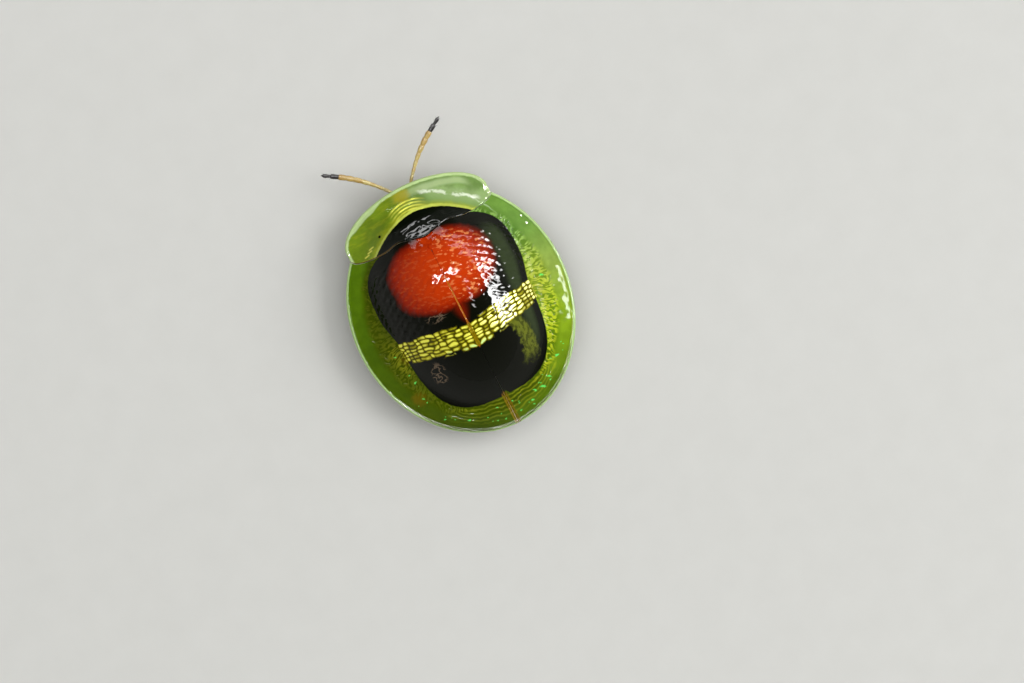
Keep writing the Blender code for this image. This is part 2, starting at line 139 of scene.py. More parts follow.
class Paint:
    def __init__(self, name):
        self.material = bpy.data.materials.new(name)
        self.material.use_nodes = True
        self.tree = self.material.node_tree
        self.shader = self.tree.nodes["Principled BSDF"]

    def plug(self, socket, value):
        if isinstance(value, Value):
            self.tree.links.new(value.socket, socket)
        else:
            socket.default_value = value

    def node(self, kind, settings=None, values=None, output=0):
        made = self.tree.nodes.new(kind)
        for key, value in (settings or {}).items():
            if key == "stops":
                setStops(made.color_ramp, value)
            else:
                setattr(made, key, value)
        for key, value in (values or {}).items():
            self.plug(made.inputs[key], value)
        return Value(self, made.outputs[output])

    def place(self):
        # x, y and z in millimetres about the middle of the body
        where = self.node("ShaderNodeTexCoord", output="Object")
        split = self.tree.nodes.new("ShaderNodeSeparateXYZ")
        self.tree.links.new(where.socket, split.inputs[0])
        x, y, z = (Value(self, split.outputs[k]) for k in range(3))
        return x / mm, y / mm - originShift, z / mm

    def where(self):
        return self.vector(*self.place())

    def vector(self, x, y, z):
        return self.node("ShaderNodeCombineXYZ", values={0: x, 1: y, 2: z})

    def noise(self, vector, scale, detail, rough=0.5):
        values = {"Vector": vector, "Scale": scale, "Detail": detail, "Roughness": rough}
        return self.node("ShaderNodeTexNoise", values=values)

    def cells(self, vector, scale, wander=1.0):
        values = {"Vector": vector, "Scale": scale, "Randomness": wander}
        return self.node("ShaderNodeTexVoronoi", values=values, output="Distance")

    def layer(self, name):
        return self.node("ShaderNodeAttribute", {"attribute_name": name}, output="Fac")

    def fade(self, value, low, high, first=0.0, last=1.0):
        # runs smoothly from first to last while the value goes from low to high
        values = {"Value": value, "From Min": low, "From Max": high, "To Min": first, "To Max": last}
        return self.node("ShaderNodeMapRange", {"interpolation_type": "SMOOTHSTEP"}, values)

    def fall(self, value, low, high):
        return self.fade(value, low, high, 1.0, 0.0)

    def spot(self, x, y, middle, reach=(1, 1)):
        # how far a point lies from the middle, squared, in shares of the reach
        return ((x - middle[0]) / reach[0]) ** 2 + ((y - middle[1]) / reach[1]) ** 2

    def mix(self, share, first, second, blend="MIX"):
        settings = {"data_type": "RGBA", "blend_type": blend, "clamp_factor": True}
        values = {0: share, 6: self.tint(first), 7: self.tint(second)}
        return self.node("ShaderNodeMix", settings, values, 2)

    def over(self, colour, look, **shares):
        # lays named colours over one another, each by its share
        for name, share in shares.items():
            colour = self.mix(share, colour, look[name])
        return colour

    def tint(self, colour):
        return colour if isinstance(colour, Value) else (*colour, 1.0)

    def bump(self, height, distance):
        values = {"Height": height, "Distance": distance * mm, "Strength": 1.0}
        return self.node("ShaderNodeBump", values=values, output="Normal")

    def set(self, **sockets):
        # constants and links for the shader, by socket name with the spaces left out
        names = {socket.name.replace(" ", ""): socket for socket in self.shader.inputs}
        for key, value in sockets.items():
            socket = names[key]
            plain = isinstance(value, tuple) and socket.type == "RGBA"
            self.plug(socket, (*value, 1.0) if plain else value)
        return self.material


# Heights of the shell's upper face, in numpy, as in the solids


def smoothStep(t):
    t = np.clip(t, 0.0, 1.0)
    return t * t * (3.0 - 2.0 * t)


def bell(t):
    return np.exp(-(t**2))


def brimHeight(x, y):
    reach = np.where(y < 0.0, beetle["frontReach"], beetle["rearReach"])
    spread = (x / beetle["halfWidth"]) ** 2 + (y / reach) ** 2
    ahead = (rise["liftStartY"] - y) / (rise["liftStartY"] + beetle["frontReach"])
    arch = 1 - rise["archShare"] * (1 - bell(x / rise["liftSpread"]))
    lift = rise["frontLift"] * smoothStep(ahead) * arch
    return rise["edgeHeight"] + rise["brimRise"] * (1 - spread) + lift


def domeHeight(x, y):
    ahead = y < rise["centreY"]
    along = abs(y - rise["centreY"]) / np.where(ahead, rise["frontReach"], rise["rearReach"])
    power = np.where(ahead, 2.0, rise["rearPower"])
    fill = np.maximum(0.0, 1.0 - along**power - (x / rise["halfWidth"]) ** 2)
    more = (rise["frontFullness"] - rise["rearFullness"]) * smoothStep(2.0 * along)
    fullness = rise["rearFullness"] + np.where(ahead, more, 0.0)
    return rise["foot"] + (beetle["height"] - rise["foot"]) * fill**fullness


def shellHeight(x, y):
    dome, brim = domeHeight(x, y), brimHeight(x, y)
    top = 0.5 * (dome + brim + np.sqrt((dome - brim) ** 2 + rise["blend"] ** 2))
    sx, sy, spread, height = rise["shoulder"]
    return top + height * bell((abs(x) - sx) / spread) * bell((y - sy) / spread)


# Outlines seen from above


def pronotumFront(x):
    reach = beetle["pronotumWidestY"] + beetle["frontReach"]
    arch = np.sqrt(np.clip(1 - (x / beetle["pronotumHalf"]) ** 2, 0, 1))
    return beetle["pronotumWidestY"] - reach * arch


def pronotumRear(x):
    power, widest = beetle["cornerPower"], beetle["pronotumWidestY"]
    corner = np.clip(1 - (abs(x) / beetle["pronotumHalf"]) ** power, 0, 1) ** (1 / power)
    straight = widest + (beetle["pronotumBaseY"] - widest) * corner
    depth, at, spread = beetle["baseSinus"]
    lobeDepth, lobeSpread = beetle["baseLobe"]
    return straight - depth * bell((abs(x) - at) / spread) + lobeDepth * bell(x / lobeSpread)


def elytraOutline(angle):
    reach = np.where(angle > 0, beetle["rearReach"], beetle["elytraFrontReach"])
    return np.stack((beetle["halfWidth"] * np.cos(angle), reach * np.sin(angle)), axis=-1)


def rimGap(x, y, reach):
    # how far a point lies inside the elytra's outer edge
    q = np.sqrt((x / beetle["halfWidth"]) ** 2 + (y / reach) ** 2) + 1e-9
    slope = np.sqrt((x / beetle["halfWidth"] ** 2) ** 2 + (y / reach**2) ** 2) / q
    return (1 - q) / slope


# Meshes


def inFrame(points):
    # body millimetres to metres in the frame of the solids
    points = np.asarray(points, float).reshape(-1, 3)
    return (points + (0.0, originShift, 0.0)) * mm


def show(name, data):
    shown = bpy.data.objects.new(name, data)
    bpy.context.scene.collection.objects.link(shown)
    return shown


def makePiece(name, shapes, materials, nodes, layers=None, slots=None, flat=0):
    # one piece from several (points, faces) shapes; layers are values at its points,
    # and the last few faces can be flat
    points, faces, slotOf = [], [], []
    start = 0
    for k, (corners, sides) in enumerate(shapes):
        points.append(np.asarray(corners, float).reshape(-1, 3))
        faces += [tuple(start + i for i in side) for side in sides]
        slotOf += [slots[k] if slots else 0] * len(sides)
        start += len(points[-1])
    mesh = bpy.data.meshes.new(name)
    mesh.from_pydata(inFrame(np.concatenate(points)).tolist(), [], faces)
    mesh.polygons.foreach_set("material_index", slotOf)
    mesh.polygons.foreach_set("use_smooth", [True] * (len(faces) - flat) + [False] * flat)
    shape = bmesh.new()
    shape.from_mesh(mesh)
    bmesh.ops.recalc_face_normals(shape, faces=shape.faces)
    shape.to_mesh(mesh)
    shape.free()
    for material in materials:
        mesh.materials.append(material)
    for layer, values in (layers or {}).items():
        made = mesh.attributes.new(layer, "FLOAT", "POINT")
        made.data.foreach_set("value", np.asarray(values, np.float32).ravel())
    mesh.update()
    piece = show(name, mesh)
    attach(piece, "root")
    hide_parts(*nodes)
    return piece


def gridFaces(rows, columns, ring=False, flip=False):
    i, j = np.meshgrid(np.arange(rows - 1), np.arange(columns - (0 if ring else 1)), indexing="ij")
    near = i * columns + j
    nearNext = i * columns + (j + 1) % columns
    faces = np.stack((near, nearNext, nearNext + columns, near + columns), axis=-1).reshape(-1, 4)
    return (faces[:, ::-1] if flip else faces).tolist()


def smoothAlong(stops, places):
    # a soft line through (place, value) stops
    marks = np.array([stop[0] for stop in stops])
    values = np.array([stop[1] for stop in stops])
    k = np.clip(np.searchsorted(marks, places, side="right") - 1, 0, len(marks) - 2)
    slopes = np.gradient(values, marks)
    width = marks[k + 1] - marks[k]
    t = (places - marks[k]) / width
    a, b = values[k], values[k + 1]
    m, n = slopes[k] * width, slopes[k + 1] * width
    return a + (b - a) * (3 - 2 * t) * t**2 + t * (1 - t) * ((1 - t) * m - t * n)


def limb(path, profile, rings, sides=16, deep=1.0, blunt=8.0):
    # a closed rounded length of leg, feeler or mouthpart along a path of points
    path = np.asarray(path, float)
    lengths = np.concatenate(([0.0], np.cumsum(np.linalg.norm(np.diff(path, axis=0), axis=1))))
    lengths /= lengths[-1]
    t = (1 - np.cos(np.linspace(0, math.pi, rings))) / 2
    centres = np.stack([smoothAlong(list(zip(lengths, path[:, a])), t) for a in range(3)], axis=-1)
    aim = np.gradient(centres, t, axis=0)
    aim /= np.linalg.norm(aim, axis=1, keepdims=True)
    side = np.cross(aim, (0.0, 0.0, 1.0))
    side /= np.linalg.norm(side, axis=1, keepdims=True)
    top = np.cross(side, aim)
    cap = np.sqrt(np.clip(1 - abs(2 * t - 1) ** blunt, 0, 1))
    radius = (smoothAlong(profile, t) * cap)[1:-1, None, None]
    turn = np.linspace(0, 2 * math.pi, sides, endpoint=False)
    across = side[1:-1, None] * np.cos(turn)[None, :, None]
    ring = across + top[1:-1, None] * np.sin(turn)[None, :, None] * deep
    body = (centres[1:-1, None] + ring * radius).reshape(-1, 3)
    points = np.concatenate((body, centres[:1], centres[-1:]))
    faces = gridFaces(rings - 2, sides, ring=True, flip=True)
    return points, faces + poleFaces(rings, sides)


def poleFaces(rings, sides):
    # the triangles at both ends of a ringed shape, whose last two points are its poles
    first, last = (rings - 2) * sides, (rings - 2) * sides + 1
    final = (rings - 3) * sides
    faces = []
    for k in range(sides):
        n = (k + 1) % sides
        faces.append((first, n, k))
        faces.append((last, final + k, final + n))
    return faces


def globe(centre, half, shape=None, *, rings, sides):
    # a closed ball; shape moves its points, given on the unit ball
    polar = np.linspace(0, math.pi, rings)[1:-1, None]
    turn = np.linspace(0, 2 * math.pi, sides, endpoint=False)[None, :]
    across = np.sin(polar)
    around = np.broadcast_arrays(across * np.cos(turn), across * np.sin(turn), np.cos(polar))
    unit = np.concatenate((np.stack(around, -1).reshape(-1, 3), [[0, 0, 1], [0, 0, -1]]))
    points = unit * half if shape is None else shape(unit) * half
    faces = gridFaces(rings - 2, sides, ring=True, flip=True)
    return points + centre, faces + poleFaces(rings, sides)


hairSink = 0.02


def hairs(roots, aims, length, radius):
    # fine bristles: three-sided spikes with their roots sunk in
    points, faces = [], []
    for root, aim in zip(np.asarray(roots, float), np.asarray(aims, float)):
        aim = aim / np.linalg.norm(aim)
        side = np.cross(aim, (0.3, 0.5, 0.8))
        side /= np.linalg.norm(side)
        other = np.cross(aim, side)
        start = len(points)
        for k in range(3):
            turn = 2 * math.pi * k / 3
            out = math.cos(turn) * side + math.sin(turn) * other
            points.append(root - hairSink * aim + radius * out)
            faces.append((start + k, start + (k + 1) % 3, start + 3))
        points.append(root + length * aim)
        faces.append((start + 2, start + 1, start))
    return np.array(points), faces


def mirror(shape, side):
    # the left side's shape, or its twin on the right with its faces turned round
    points, faces = np.array(shape[0], float), shape[1]
    if side > 0:
        return points, faces
    points[:, 0] *= -1
    return points, [face[::-1] for face in faces]


# The shell


shell = {
    "seam": 0.008,             # between the elytra
    "baseGap": 0.014,          # between the pronotum and what is behind it
    "thickness": 0.14,
    "columns": 226,
    "rows": 400,
    "crowding": 0.2,           # how much closer the columns lie at the seam and the rim
    "underBlock": 8,           # cells of the upper face to one face below
    "split": math.radians(52),
    "disc": (2.67, -0.95, 1.93, 4.37, 3.0, 4.0),  # half width, middle, reach to both ends, powers
    "waist": (-0.75, 1.2, 0.21),                  # where the disc narrows, over what, how much
    "nick": (0.09, 0.12, 0.1),                    # in the rear of the disc: place, width, depth
    "stripes": 11.5,           # lines of pits from the seam to the side of the disc
    "stripeEnd": 0.97,
    "stripeFront": 2.4,
    "pitSpacing": 0.18,
    "pitSize": 0.042,
    "pitDepth": 0.017,
    "band": ((0.684, 0.205, 1.369, 1.24), (1.506, 0.308, 1.711, 1.7)),    # edges of the gold band
    "tileRow": 0.137,
    "tileHeight": 0.013,
    "furrow": (0.29, 0.7, 0.017, 0.6),     # slanting dents: spacing, slant, height, beads to a line
    "furrowStrength": (                    # by distance from the seam
        (0, 0), (0.25, 0.1), (0.6, 0.34), (0.95, 0.28), (1.12, 0.2), (1.32, 0.7), (1.55, 1.1),
        (1.8, 1.35), (2.15, 1.35), (2.4, 0), (4, 0),
    ),
    "shoulderFold": (-2.2, 0.22, 0.014),   # across the shoulders: place, reach, height
    "curl": (-1.7, 1.0, 0.012),            # on the red: place, reach, height
    "swell": 0.007,
    "wrinkle": (0.5, 0.22, 0.14),          # of the brim: distance from the rim, over what, spacing
    "rearRings": (3.05, 0.35, 0.13),       # ridges round the rear brim: place, over what, spacing
    "ridgeHeight": 0.02,
    "ripple": 0.006,                       # height of the waves in the clear brim
    "bead": (0.06, 0.045, 0.032),      # place, width and height of the rim's bead
    "edgeRound": (0.045, 0.05),        # width and fall of the rounded edge
    "seamRound": (0.012, 0.008),
    "seamBead": (0.1, 0.035, 0.012),   # on each side of the seam, behind the disc
    # places of the brim's painted green glints
    "sparks": (
        (1.47, 3.66), (0.33, 4.17), (-0.27, 4.14), (-0.78, 4.0), (-1.3, 3.74), (-1.64, 3.52),
        (2.77, 0.6), (2.62, 1.37), (2.55, 1.68), (-2.2, 3.0), (-2.95, 0.3), (-1.0, 3.72),
    ),
    "sparkSize": 0.038,
    "smallSparks": 30,
}
scutellum = {
    "half": 0.3,
    "length": 0.5,
    "taper": 0.86,
    "notch": 0.56,             # from the pronotum to where the elytra meet behind it
    "columns": 30,
    "rows": 40,
    "lift": 0.002,
    "edgeRound": (0.015, 0.006),
    "rough": 0.008,
}


noiseCells = 64
noiseShift = (31.7, 17.3)      # keeps the cells' corner off the middle of the body


def softNoise(x, y, size, seed):
    # smooth seeded noise from 0 to 1 over a plane
    lattice = np.random.default_rng(seed).random((noiseCells, noiseCells))
    u, v = x / size + noiseShift[0], y / size + noiseShift[1]
    i, j = np.floor(u).astype(int), np.floor(v).astype(int)
    a, b = smoothStep(u - i), smoothStep(v - j)
    i0, j0, i1, j1 = (k % noiseCells for k in (i, j, i + 1, j + 1))
    low = lattice[i0, j0] * (1 - a) + lattice[i1, j0] * a
    high = lattice[i0, j1] * (1 - a) + lattice[i1, j1] * a
    return low * (1 - b) + high * b


def sway(x, y, size, seed):
    # the same noise around zero
    return softNoise(x, y, size, seed) - 0.5


def discField(x, y):
    half, middle, ahead, behind, power, rearPower = shell["disc"]
    start, length, narrow = shell["waist"]
    half = half - narrow * smoothStep((y - start) / length)
    away = abs(y - middle)
    along = np.where(y < middle, (away / ahead) ** power, (away / behind) ** rearPower)
    return (abs(x) / half) ** power + along


def stripePlace(x, y):
    # which line of pits a point is on, and how wide a line is there
    half, middle, _, behind, power, _ = shell["disc"]
    reach = np.where(y < middle, shell["stripeFront"], behind)
    width = half * np.clip(1 - (abs(y - middle) / reach) ** power, 0.02, 1) ** (1 / power)
    end = shell["stripeEnd"]
    share = end * np.clip(abs(x) / width, 0, 1.02)
    spacing = math.asin(end) / shell["stripes"]
    return np.arcsin(share) / spacing, width * np.sqrt(1 - share**2) * spacing / end


def bandEdges(side):
    # where the gold band starts and ends, by distance from the seam, in numpy or in a shader
    return [at - drop * (side / wide) ** power for at, drop, wide, power in shell["band"]]


def bandTiles(x, y, line):
    # small raised plates in staggered rows: is one there, its pillow form and how bright it is
    warped = line + 0.8 * sway(x, y, 0.16, 14)
    column = np.floor(warped)
    upper, lower = bandEdges(abs(x))
    slide = 0.5 * (column % 2) + 0.3 * np.sin(column * 2.1) + 0.7 * sway(x, y, 0.22, 15)
    row = (y - (upper + lower) / 2) / shell["tileRow"] + slide
    near = np.floor(row)
    lot = softNoise(column * 3.0 + 7, near * 3.0, 1.0, 7)
    other = softNoise(column * 3.0 + 41, near * 3.0, 1.0, 6)
    centre = (near + 0.5 - slide) * shell["tileRow"]
    reach = (lower - upper) / 2 + 0.1 * (other - 0.55)
    there = 1 - smoothStep((abs(centre) - reach) / 0.02)
    across, down = abs(2 * (warped - column) - 1), abs(2 * (row - near) - 1)
    joined = np.where(other > 0.8, 0.4, 1.0)             # some plates run into the next one
    rough = softNoise(x, y, 0.05, 16)
    pillow = np.clip(1.08 - joined * across**2.2, 0, 1) * np.clip(1 - down**1.6, 0, 1)
    pillow = np.clip(pillow * (1.35 - 0.7 * rough), 0, 1)
    return there, pillow, np.clip(0.55 + 0.95 * (lot - 0.42) + 0.35 * (rough - 0.5), 0.2, 1)


def rounded(away, fall):
    # how much an edge sinks, by the distance from it
    width, depth = fall
    return depth * np.clip(1 - away / width, 0, 1) ** 2


def beaded(away, bead):
    at, width, height = bead
    return height * bell((away - at) / width)


def elytronRelief(x, y):
    # heights over the smooth shell, with the values that the colours follow
    line, lineWidth = stripePlace(x, y)
    near = np.round(line)
    step = y / shell["pitSpacing"] + 0.5 * (near % 2)
    step = step + 0.3 * np.sin(near * 2.4) + 0.2 * np.sin(6.3 * y + near * 1.7)
    off = (line - near) * lineWidth
    back = (step - np.round(step)) * shell["pitSpacing"]
    field = discField(x, y)
    inside = smoothStep((1.0 - field) / 0.1)
    flank = smoothStep((abs(x) - 0.55) / 0.7) * smoothStep((0.55 - y) / 0.5)
    flank = flank * smoothStep((y + 2.3) / 0.5)
    size = shell["pitSize"]
    deep = 0.16 + 0.84 * flank
    pit = np.exp(-(off / (size * (1 + 0.5 * flank))) ** 2 - (back / size) ** 2) * (near >= 1)
    there, pillow, tone = bandTiles(x, y, line)
    band = there * inside
    ends = smoothStep((1.12 - field) / 0.1)
    height = -shell["pitDepth"] * pit * inside * deep * (1 - band)
    height += shell["tileHeight"] * (pillow - 0.35) * band

    spacing, slant, tall, beads = shell["furrow"]
    drift = 0.5 * softNoise(x, y, 0.45, 22)
    phase = (y - slant * abs(x)) / spacing + drift
    turns = beads * line + 0.41 * np.floor(phase) + 0.6 * softNoise(x, y, 0.3, 28)
    gate = 0.5 + 0.5 * np.cos(2 * math.pi * turns)
    furrow = np.sin(2 * math.pi * phase) * (0.35 + 0.65 * gate)
    steep = smoothAlong(shell["furrowStrength"], abs(x))
    front = smoothStep((y + 2.35) / 0.4) * smoothStep((0.6 - y) / 0.3) * inside
    height += tall * furrow * steep * front
    at, spread, tall = shell["shoulderFold"]
    shoulder = bell((y - at) / spread) * smoothStep((abs(x) - 0.3) / 0.5)
    height += tall * sway(x, y * 2.4, 0.22, 23) * shoulder * inside
    height += shell["swell"] * sway(x, y, 0.5, 21) * inside
    at, spread, tall = shell["curl"]
    warpedX = x + 0.25 * softNoise(x, y, 0.3, 26)
    warpedY = y * 1.6 + 0.1 * softNoise(x, y, 0.2, 29)
    height += tall * sway(warpedX, warpedY, 0.15, 24) * inside * bell((y - at) / spread)

    reach = np.where(y < 0, beetle["elytraFrontReach"], beetle["rearReach"])
    gap = rimGap(x, y, reach)
    arc = np.arctan2(y / reach, abs(x) / beetle["halfWidth"]) * beetle["halfWidth"]
    ragged = 0.25 * sway(arc, gap, 0.3, 17)
    outside = smoothStep((field - 0.985) / 0.05)
    start, blend, spacing = shell["wrinkle"]
    zone = outside * smoothStep((gap - start + ragged) / blend)
    wander = 1.7 * softNoise(arc, gap, 0.28, 11) + 1.0 * softNoise(arc, gap, 0.11, 12)
    lines = 0.5 + 0.5 * np.sin(2 * math.pi * (arc / spacing + 0.8 * gap + wander))
    flecks = smoothStep((0.5 * lines + 0.85 * softNoise(arc, gap, 0.085, 13) - 0.5) / 0.3)
    start, blend, spacing = shell["rearRings"]
    rear = smoothStep((y - start + 0.5 * sway(arc, gap, 0.3, 20)) / blend)
    wander = 1.1 * softNoise(arc, gap, 0.4, 18) + 0.35 * softNoise(arc, gap, 0.13, 30)
    waves = np.cos(2 * math.pi * (gap / spacing + wander))
    rings = smoothStep((waves - 0.1) / 0.6) * (0.45 + 0.55 * softNoise(arc, gap, 0.2, 19))
    ringZone = np.maximum(zone, 0.8 * smoothStep((gap - 0.2) / 0.25) * outside)
    flecks = flecks * (1 - rear) * zone + rings * rear * ringZone
    height += shell["ridgeHeight"] * (flecks - 0.35 * zone)

    height += beaded(gap, shell["bead"]) - rounded(gap, shell["edgeRound"])
    height -= rounded(abs(x) - shell["seam"] / 2, shell["seamRound"])
    height += shell["ripple"] * sway(arc, gap, 0.16, 31) * smoothStep((field - 1) / 0.05)
    height += beaded(abs(x), shell["seamBead"]) * smoothStep((y - 3.2) / 0.25)
    layers = {"band": there * ends, "tile": pillow * tone, "fleck": flecks}
    return height, layers | {"gap": np.clip(gap, 0, 3)}


def sparkLayer(x, y):
    # bright green glints painted on the brim, a painted highlight
    spark = np.zeros_like(x)
    random = np.random.default_rng(33)
    turns = random.uniform(math.radians(40), math.radians(150), shell["smallSparks"])
    shares = random.uniform(0.82, 0.95, shell["smallSparks"])
    smallX = -shares * beetle["halfWidth"] * np.cos(turns)
    smallY = shares * beetle["rearReach"] * np.sin(turns)
    for k, (sparkX, sparkY) in enumerate((*shell["sparks"], *zip(smallX, smallY))):
        size = shell["sparkSize"] * (1 + 0.35 * math.sin(5.1 * k))
        size *= 1.0 if k < len(shell["sparks"]) else 0.5
        aside, behind = x - sparkX, y - sparkY
        dx = (aside + 0.5 * behind) / (1.4 * size)
        dy = (behind - 0.4 * math.sin(k) * aside) / (0.75 * size)
        lean = 0.22 * np.sin(3 * np.arctan2(dy, dx) + k) + 0.4 * softNoise(x, y, 0.04, 25)
        spark = np.maximum(spark, 1 - smoothStep(np.hypot(dx, dy) * (1 + lean) - 0.6))
    return spark


def alongPath(points, t):
    lengths = np.concatenate(([0.0], np.cumsum(np.linalg.norm(np.diff(points, axis=0), axis=1))))
    places = t * lengths[-1]
    return np.stack([np.interp(places, lengths, points[:, axis]) for axis in (0, 1)], axis=-1)


def behindPronotum(x):
    step = 0.01
    slope = (pronotumRear(x + step) - pronotumRear(x - step)) / (2 * step)
    away = np.stack((-slope, np.ones_like(slope)), axis=-1) / np.hypot(slope, 1.0)[..., None]
    return np.stack((x, pronotumRear(x)), axis=-1) + shell["baseGap"] * away


def elytronPlan():
    # a grid between the seam, the outer edge, the base and the rear
    tries = np.linspace(0.5, 0.998, 400) * beetle["pronotumHalf"]
    ends = behindPronotum(tries)
    shares = ends / (beetle["halfWidth"], beetle["elytraFrontReach"])
    inside = (shares**2).sum(axis=1) < 1
    start = scutellum["half"] + shell["baseGap"]
    base = behindPronotum(np.linspace(start, tries[inside].max(), 200))
    tip = base[-1]
    tipAngle = -math.asin(-tip[1] / beetle["elytraFrontReach"])
    edge = elytraOutline(np.linspace(tipAngle, shell["split"], 300))
    edge[0] = tip
    seamX = shell["seam"] / 2
    rear = elytraOutline(np.linspace(math.acos(seamX / beetle["halfWidth"]), shell["split"], 200))
    notch = base[0][1] + scutellum["notch"]
    seam = np.array([base[0], (seamX + 0.02, notch), (seamX, notch + 0.1), rear[0]])
    t = np.linspace(0, 1, shell["columns"] + 1)
    u = (t - shell["crowding"] * np.sin(2 * math.pi * t) / (2 * math.pi))[None, :, None]
    w = np.linspace(0, 1, shell["rows"] + 1)[:, None, None]
    down, over = w[:, 0, 0], u[0, :, 0]
    sides = (1 - u) * alongPath(seam, down)[:, None] + u * alongPath(edge, down)[:, None]
    ends = (1 - w) * alongPath(base, over)[None] + w * alongPath(rear, over)[None]
    corners = (1 - w) * ((1 - u) * seam[0] + u * edge[0]) + w * ((1 - u) * seam[-1] + u * edge[-1])
    return sides + ends - corners


def underFaces(rows, columns, block):
    # large faces over blocks of cells that keep every point of the outer edge
    faces = []
    rowCuts = [*range(0, rows - 1, block), rows - 1]
    columnCuts = [*range(0, columns - 1, block), columns - 1]
    for i0, i1 in zip(rowCuts, rowCuts[1:]):
        for j0, j1 in zip(columnCuts, columnCuts[1:]):
            face = [(i0, j) for j in (range(j0, j1) if i0 == 0 else (j0,))]
            face += [(i, j1) for i in (range(i0, i1) if j1 == columns - 1 else (i0,))]
            face += [(i1, j) for j in (range(j1, j0, -1) if i1 == rows - 1 else (j1,))]
            face += [(i, j0) for i in (range(i1, i0, -1) if j0 == 0 else (i1,))]
            faces.append([i * columns + j for i, j in face])
    return faces


def plate(name, plan, relief, material, node, layers):
    # a closed shell plate with a fine upper face, a plain lower one and a wall round its edge
    rows, columns = relief.shape
    grid = np.arange(rows * columns).reshape(rows, columns)
    edge = [*grid[0, :-1], *grid[:-1, -1], *grid[-1, :0:-1], *grid[:0:-1, 0]]
    below = underFaces(rows, columns, shell["underBlock"])
    kept = sorted({i for face in below for i in face})
    place = {i: rows * columns + k for k, i in enumerate(kept)}
    faces = gridFaces(rows, columns)
    faces += [tuple(place[i] for i in reversed(face)) for face in below]
    faces += [(b, a, place[a], place[b]) for a, b in zip(edge, edge[1:] + edge[:1])]
    smooth = shellHeight(plan[..., 0], plan[..., 1])
    upper = np.dstack((plan, smooth + relief)).reshape(-1, 3)
    lower = np.dstack((plan, smooth - shell["thickness"])).reshape(-1, 3)[kept]
    layers = {key: np.append(values, values.ravel()[kept]) for key, values in layers.items()}
    shape = (np.concatenate((upper, lower)), faces)
    makePiece(name, [shape], [material], [node], layers, flat=len(edge))


def makeElytra(material):
    plan = elytronPlan()
    x, y = plan[..., 0], plan[..., 1]
    relief, layers = elytronRelief(x, y)
    for side, name in bothSides:
        sided, node = plan * (side, 1), f"elytron_{name}"
        layers["spark"] = sparkLayer(side * x, y) * smoothStep((discField(x, y) - 1) / 0.05)
        plate(f"elytronShell_{name}", sided, relief, material, node, layers)


# Colours of the elytra


gloss = {"CoatRoughness": 0.035, "CoatIOR": 1.4, "SpecularIORLevel": 0.0}
fineGrain = 0.0025
elytronLook = {
    "black": (0.003, 0.0036, 0.0014),
    "redDeep": (0.27, 0.012, 0.001),
    "redBright": (0.5, 0.036, 0.002),
    "red": (1.83, -1.31, 1.33, 2.45),       # half width, middle, half length, power
    "tileGap": (0.05, 0.045, 0.001),
    "tileDull": (0.34, 0.31, 0.006),
    "tileBright": (0.9, 0.88, 0.1),
    "tilePale": (0.95, 0.95, 0.32),
    "tileGreen": (0.55, 0.9, 0.35),
    # the brim's colours from front to rear, by place along the body from 0 to 1, painted lighter on
    # the lit right side and darker on the shaded left
    "leftGlass": (
        (0.15, (0.11, 0.22, 0.003)), (0.33, (0.1, 0.2, 0.003)), (0.5, (0.075, 0.145, 0.003)),
        (0.68, (0.066, 0.115, 0.003)), (0.83, (0.06, 0.095, 0.003)), (0.92, (0.05, 0.08, 0.004)),
    ),
    "rightGlass": (
        (0.15, (0.17, 0.33, 0.05)), (0.33, (0.175, 0.34, 0.06)), (0.5, (0.3, 0.42, 0.075)),
        (0.68, (0.28, 0.42, 0.015)), (0.82, (0.19, 0.32, 0.009)), (0.91, (0.09, 0.16, 0.005)),
    ),
    "rightOlive": (
        (0.15, (0.09, 0.19, 0.02)), (0.33, (0.085, 0.2, 0.025)), (0.5, (0.17, 0.26, 0.015)),
        (0.68, (0.13, 0.24, 0.004)), (0.82, (0.08, 0.14, 0.003)), (0.92, (0.04, 0.06, 0.002)),
    ),
    "rightGold": (
        (0.15, (0.3, 0.45, 0.1)), (0.33, (0.3, 0.52, 0.13)), (0.5, (0.5, 0.58, 0.07)),
        (0.68, (0.57, 0.65, 0.015)), (0.82, (0.5, 0.56, 0.02)), (0.92, (0.34, 0.35, 0.01)),
    ),
    "oliveLeft": (0.052, 0.078, 0.001),
    "goldLeft": (0.105, 0.13, 0.007),
    "goldBeside": (0.4, 0.4, 0.02),        # on the brim at the ends of the gold band
    # orange squiggles on the red, a painted reflection
    "worm": (0.85, 0.3, 0.09),
    # painted sheens, reflections painted into the black: middle, half width and half length
    "scuffs": (((1.66, 1.78), (0.28, 0.42)), ((0.85, -0.02), (0.42, 0.26))),
    "scuff": (0.12, 0.085, 0.055),
    # painted reflection: an olive crescent in the rear black on the right
    "crescent": (1.2, 0.14, 0.27),         # where it starts, its edge there and its bend
    "crescentOlive": (0.14, 0.165, 0.012),
    "flankSheen": (0.028, 0.042, 0.014),
    "rearGold": (0.2, 0.23, 0.012),
    "brown": (0.17, 0.1, 0.004),
    "brownSpots": (((2.45, 0.85), 0.26), ((2.72, 2.2), 0.34)),      # middle and size
    "spark": (0.14, 0.78, 0.12),
    "rim": (0.44, 0.63, 0.24),
    "seam": (0.55, 0.17, 0.012),
    "bandSeam": (0.25, 0.17, 0.0),
    "rearSeam": (0.2, 0.12, 0.008),
}


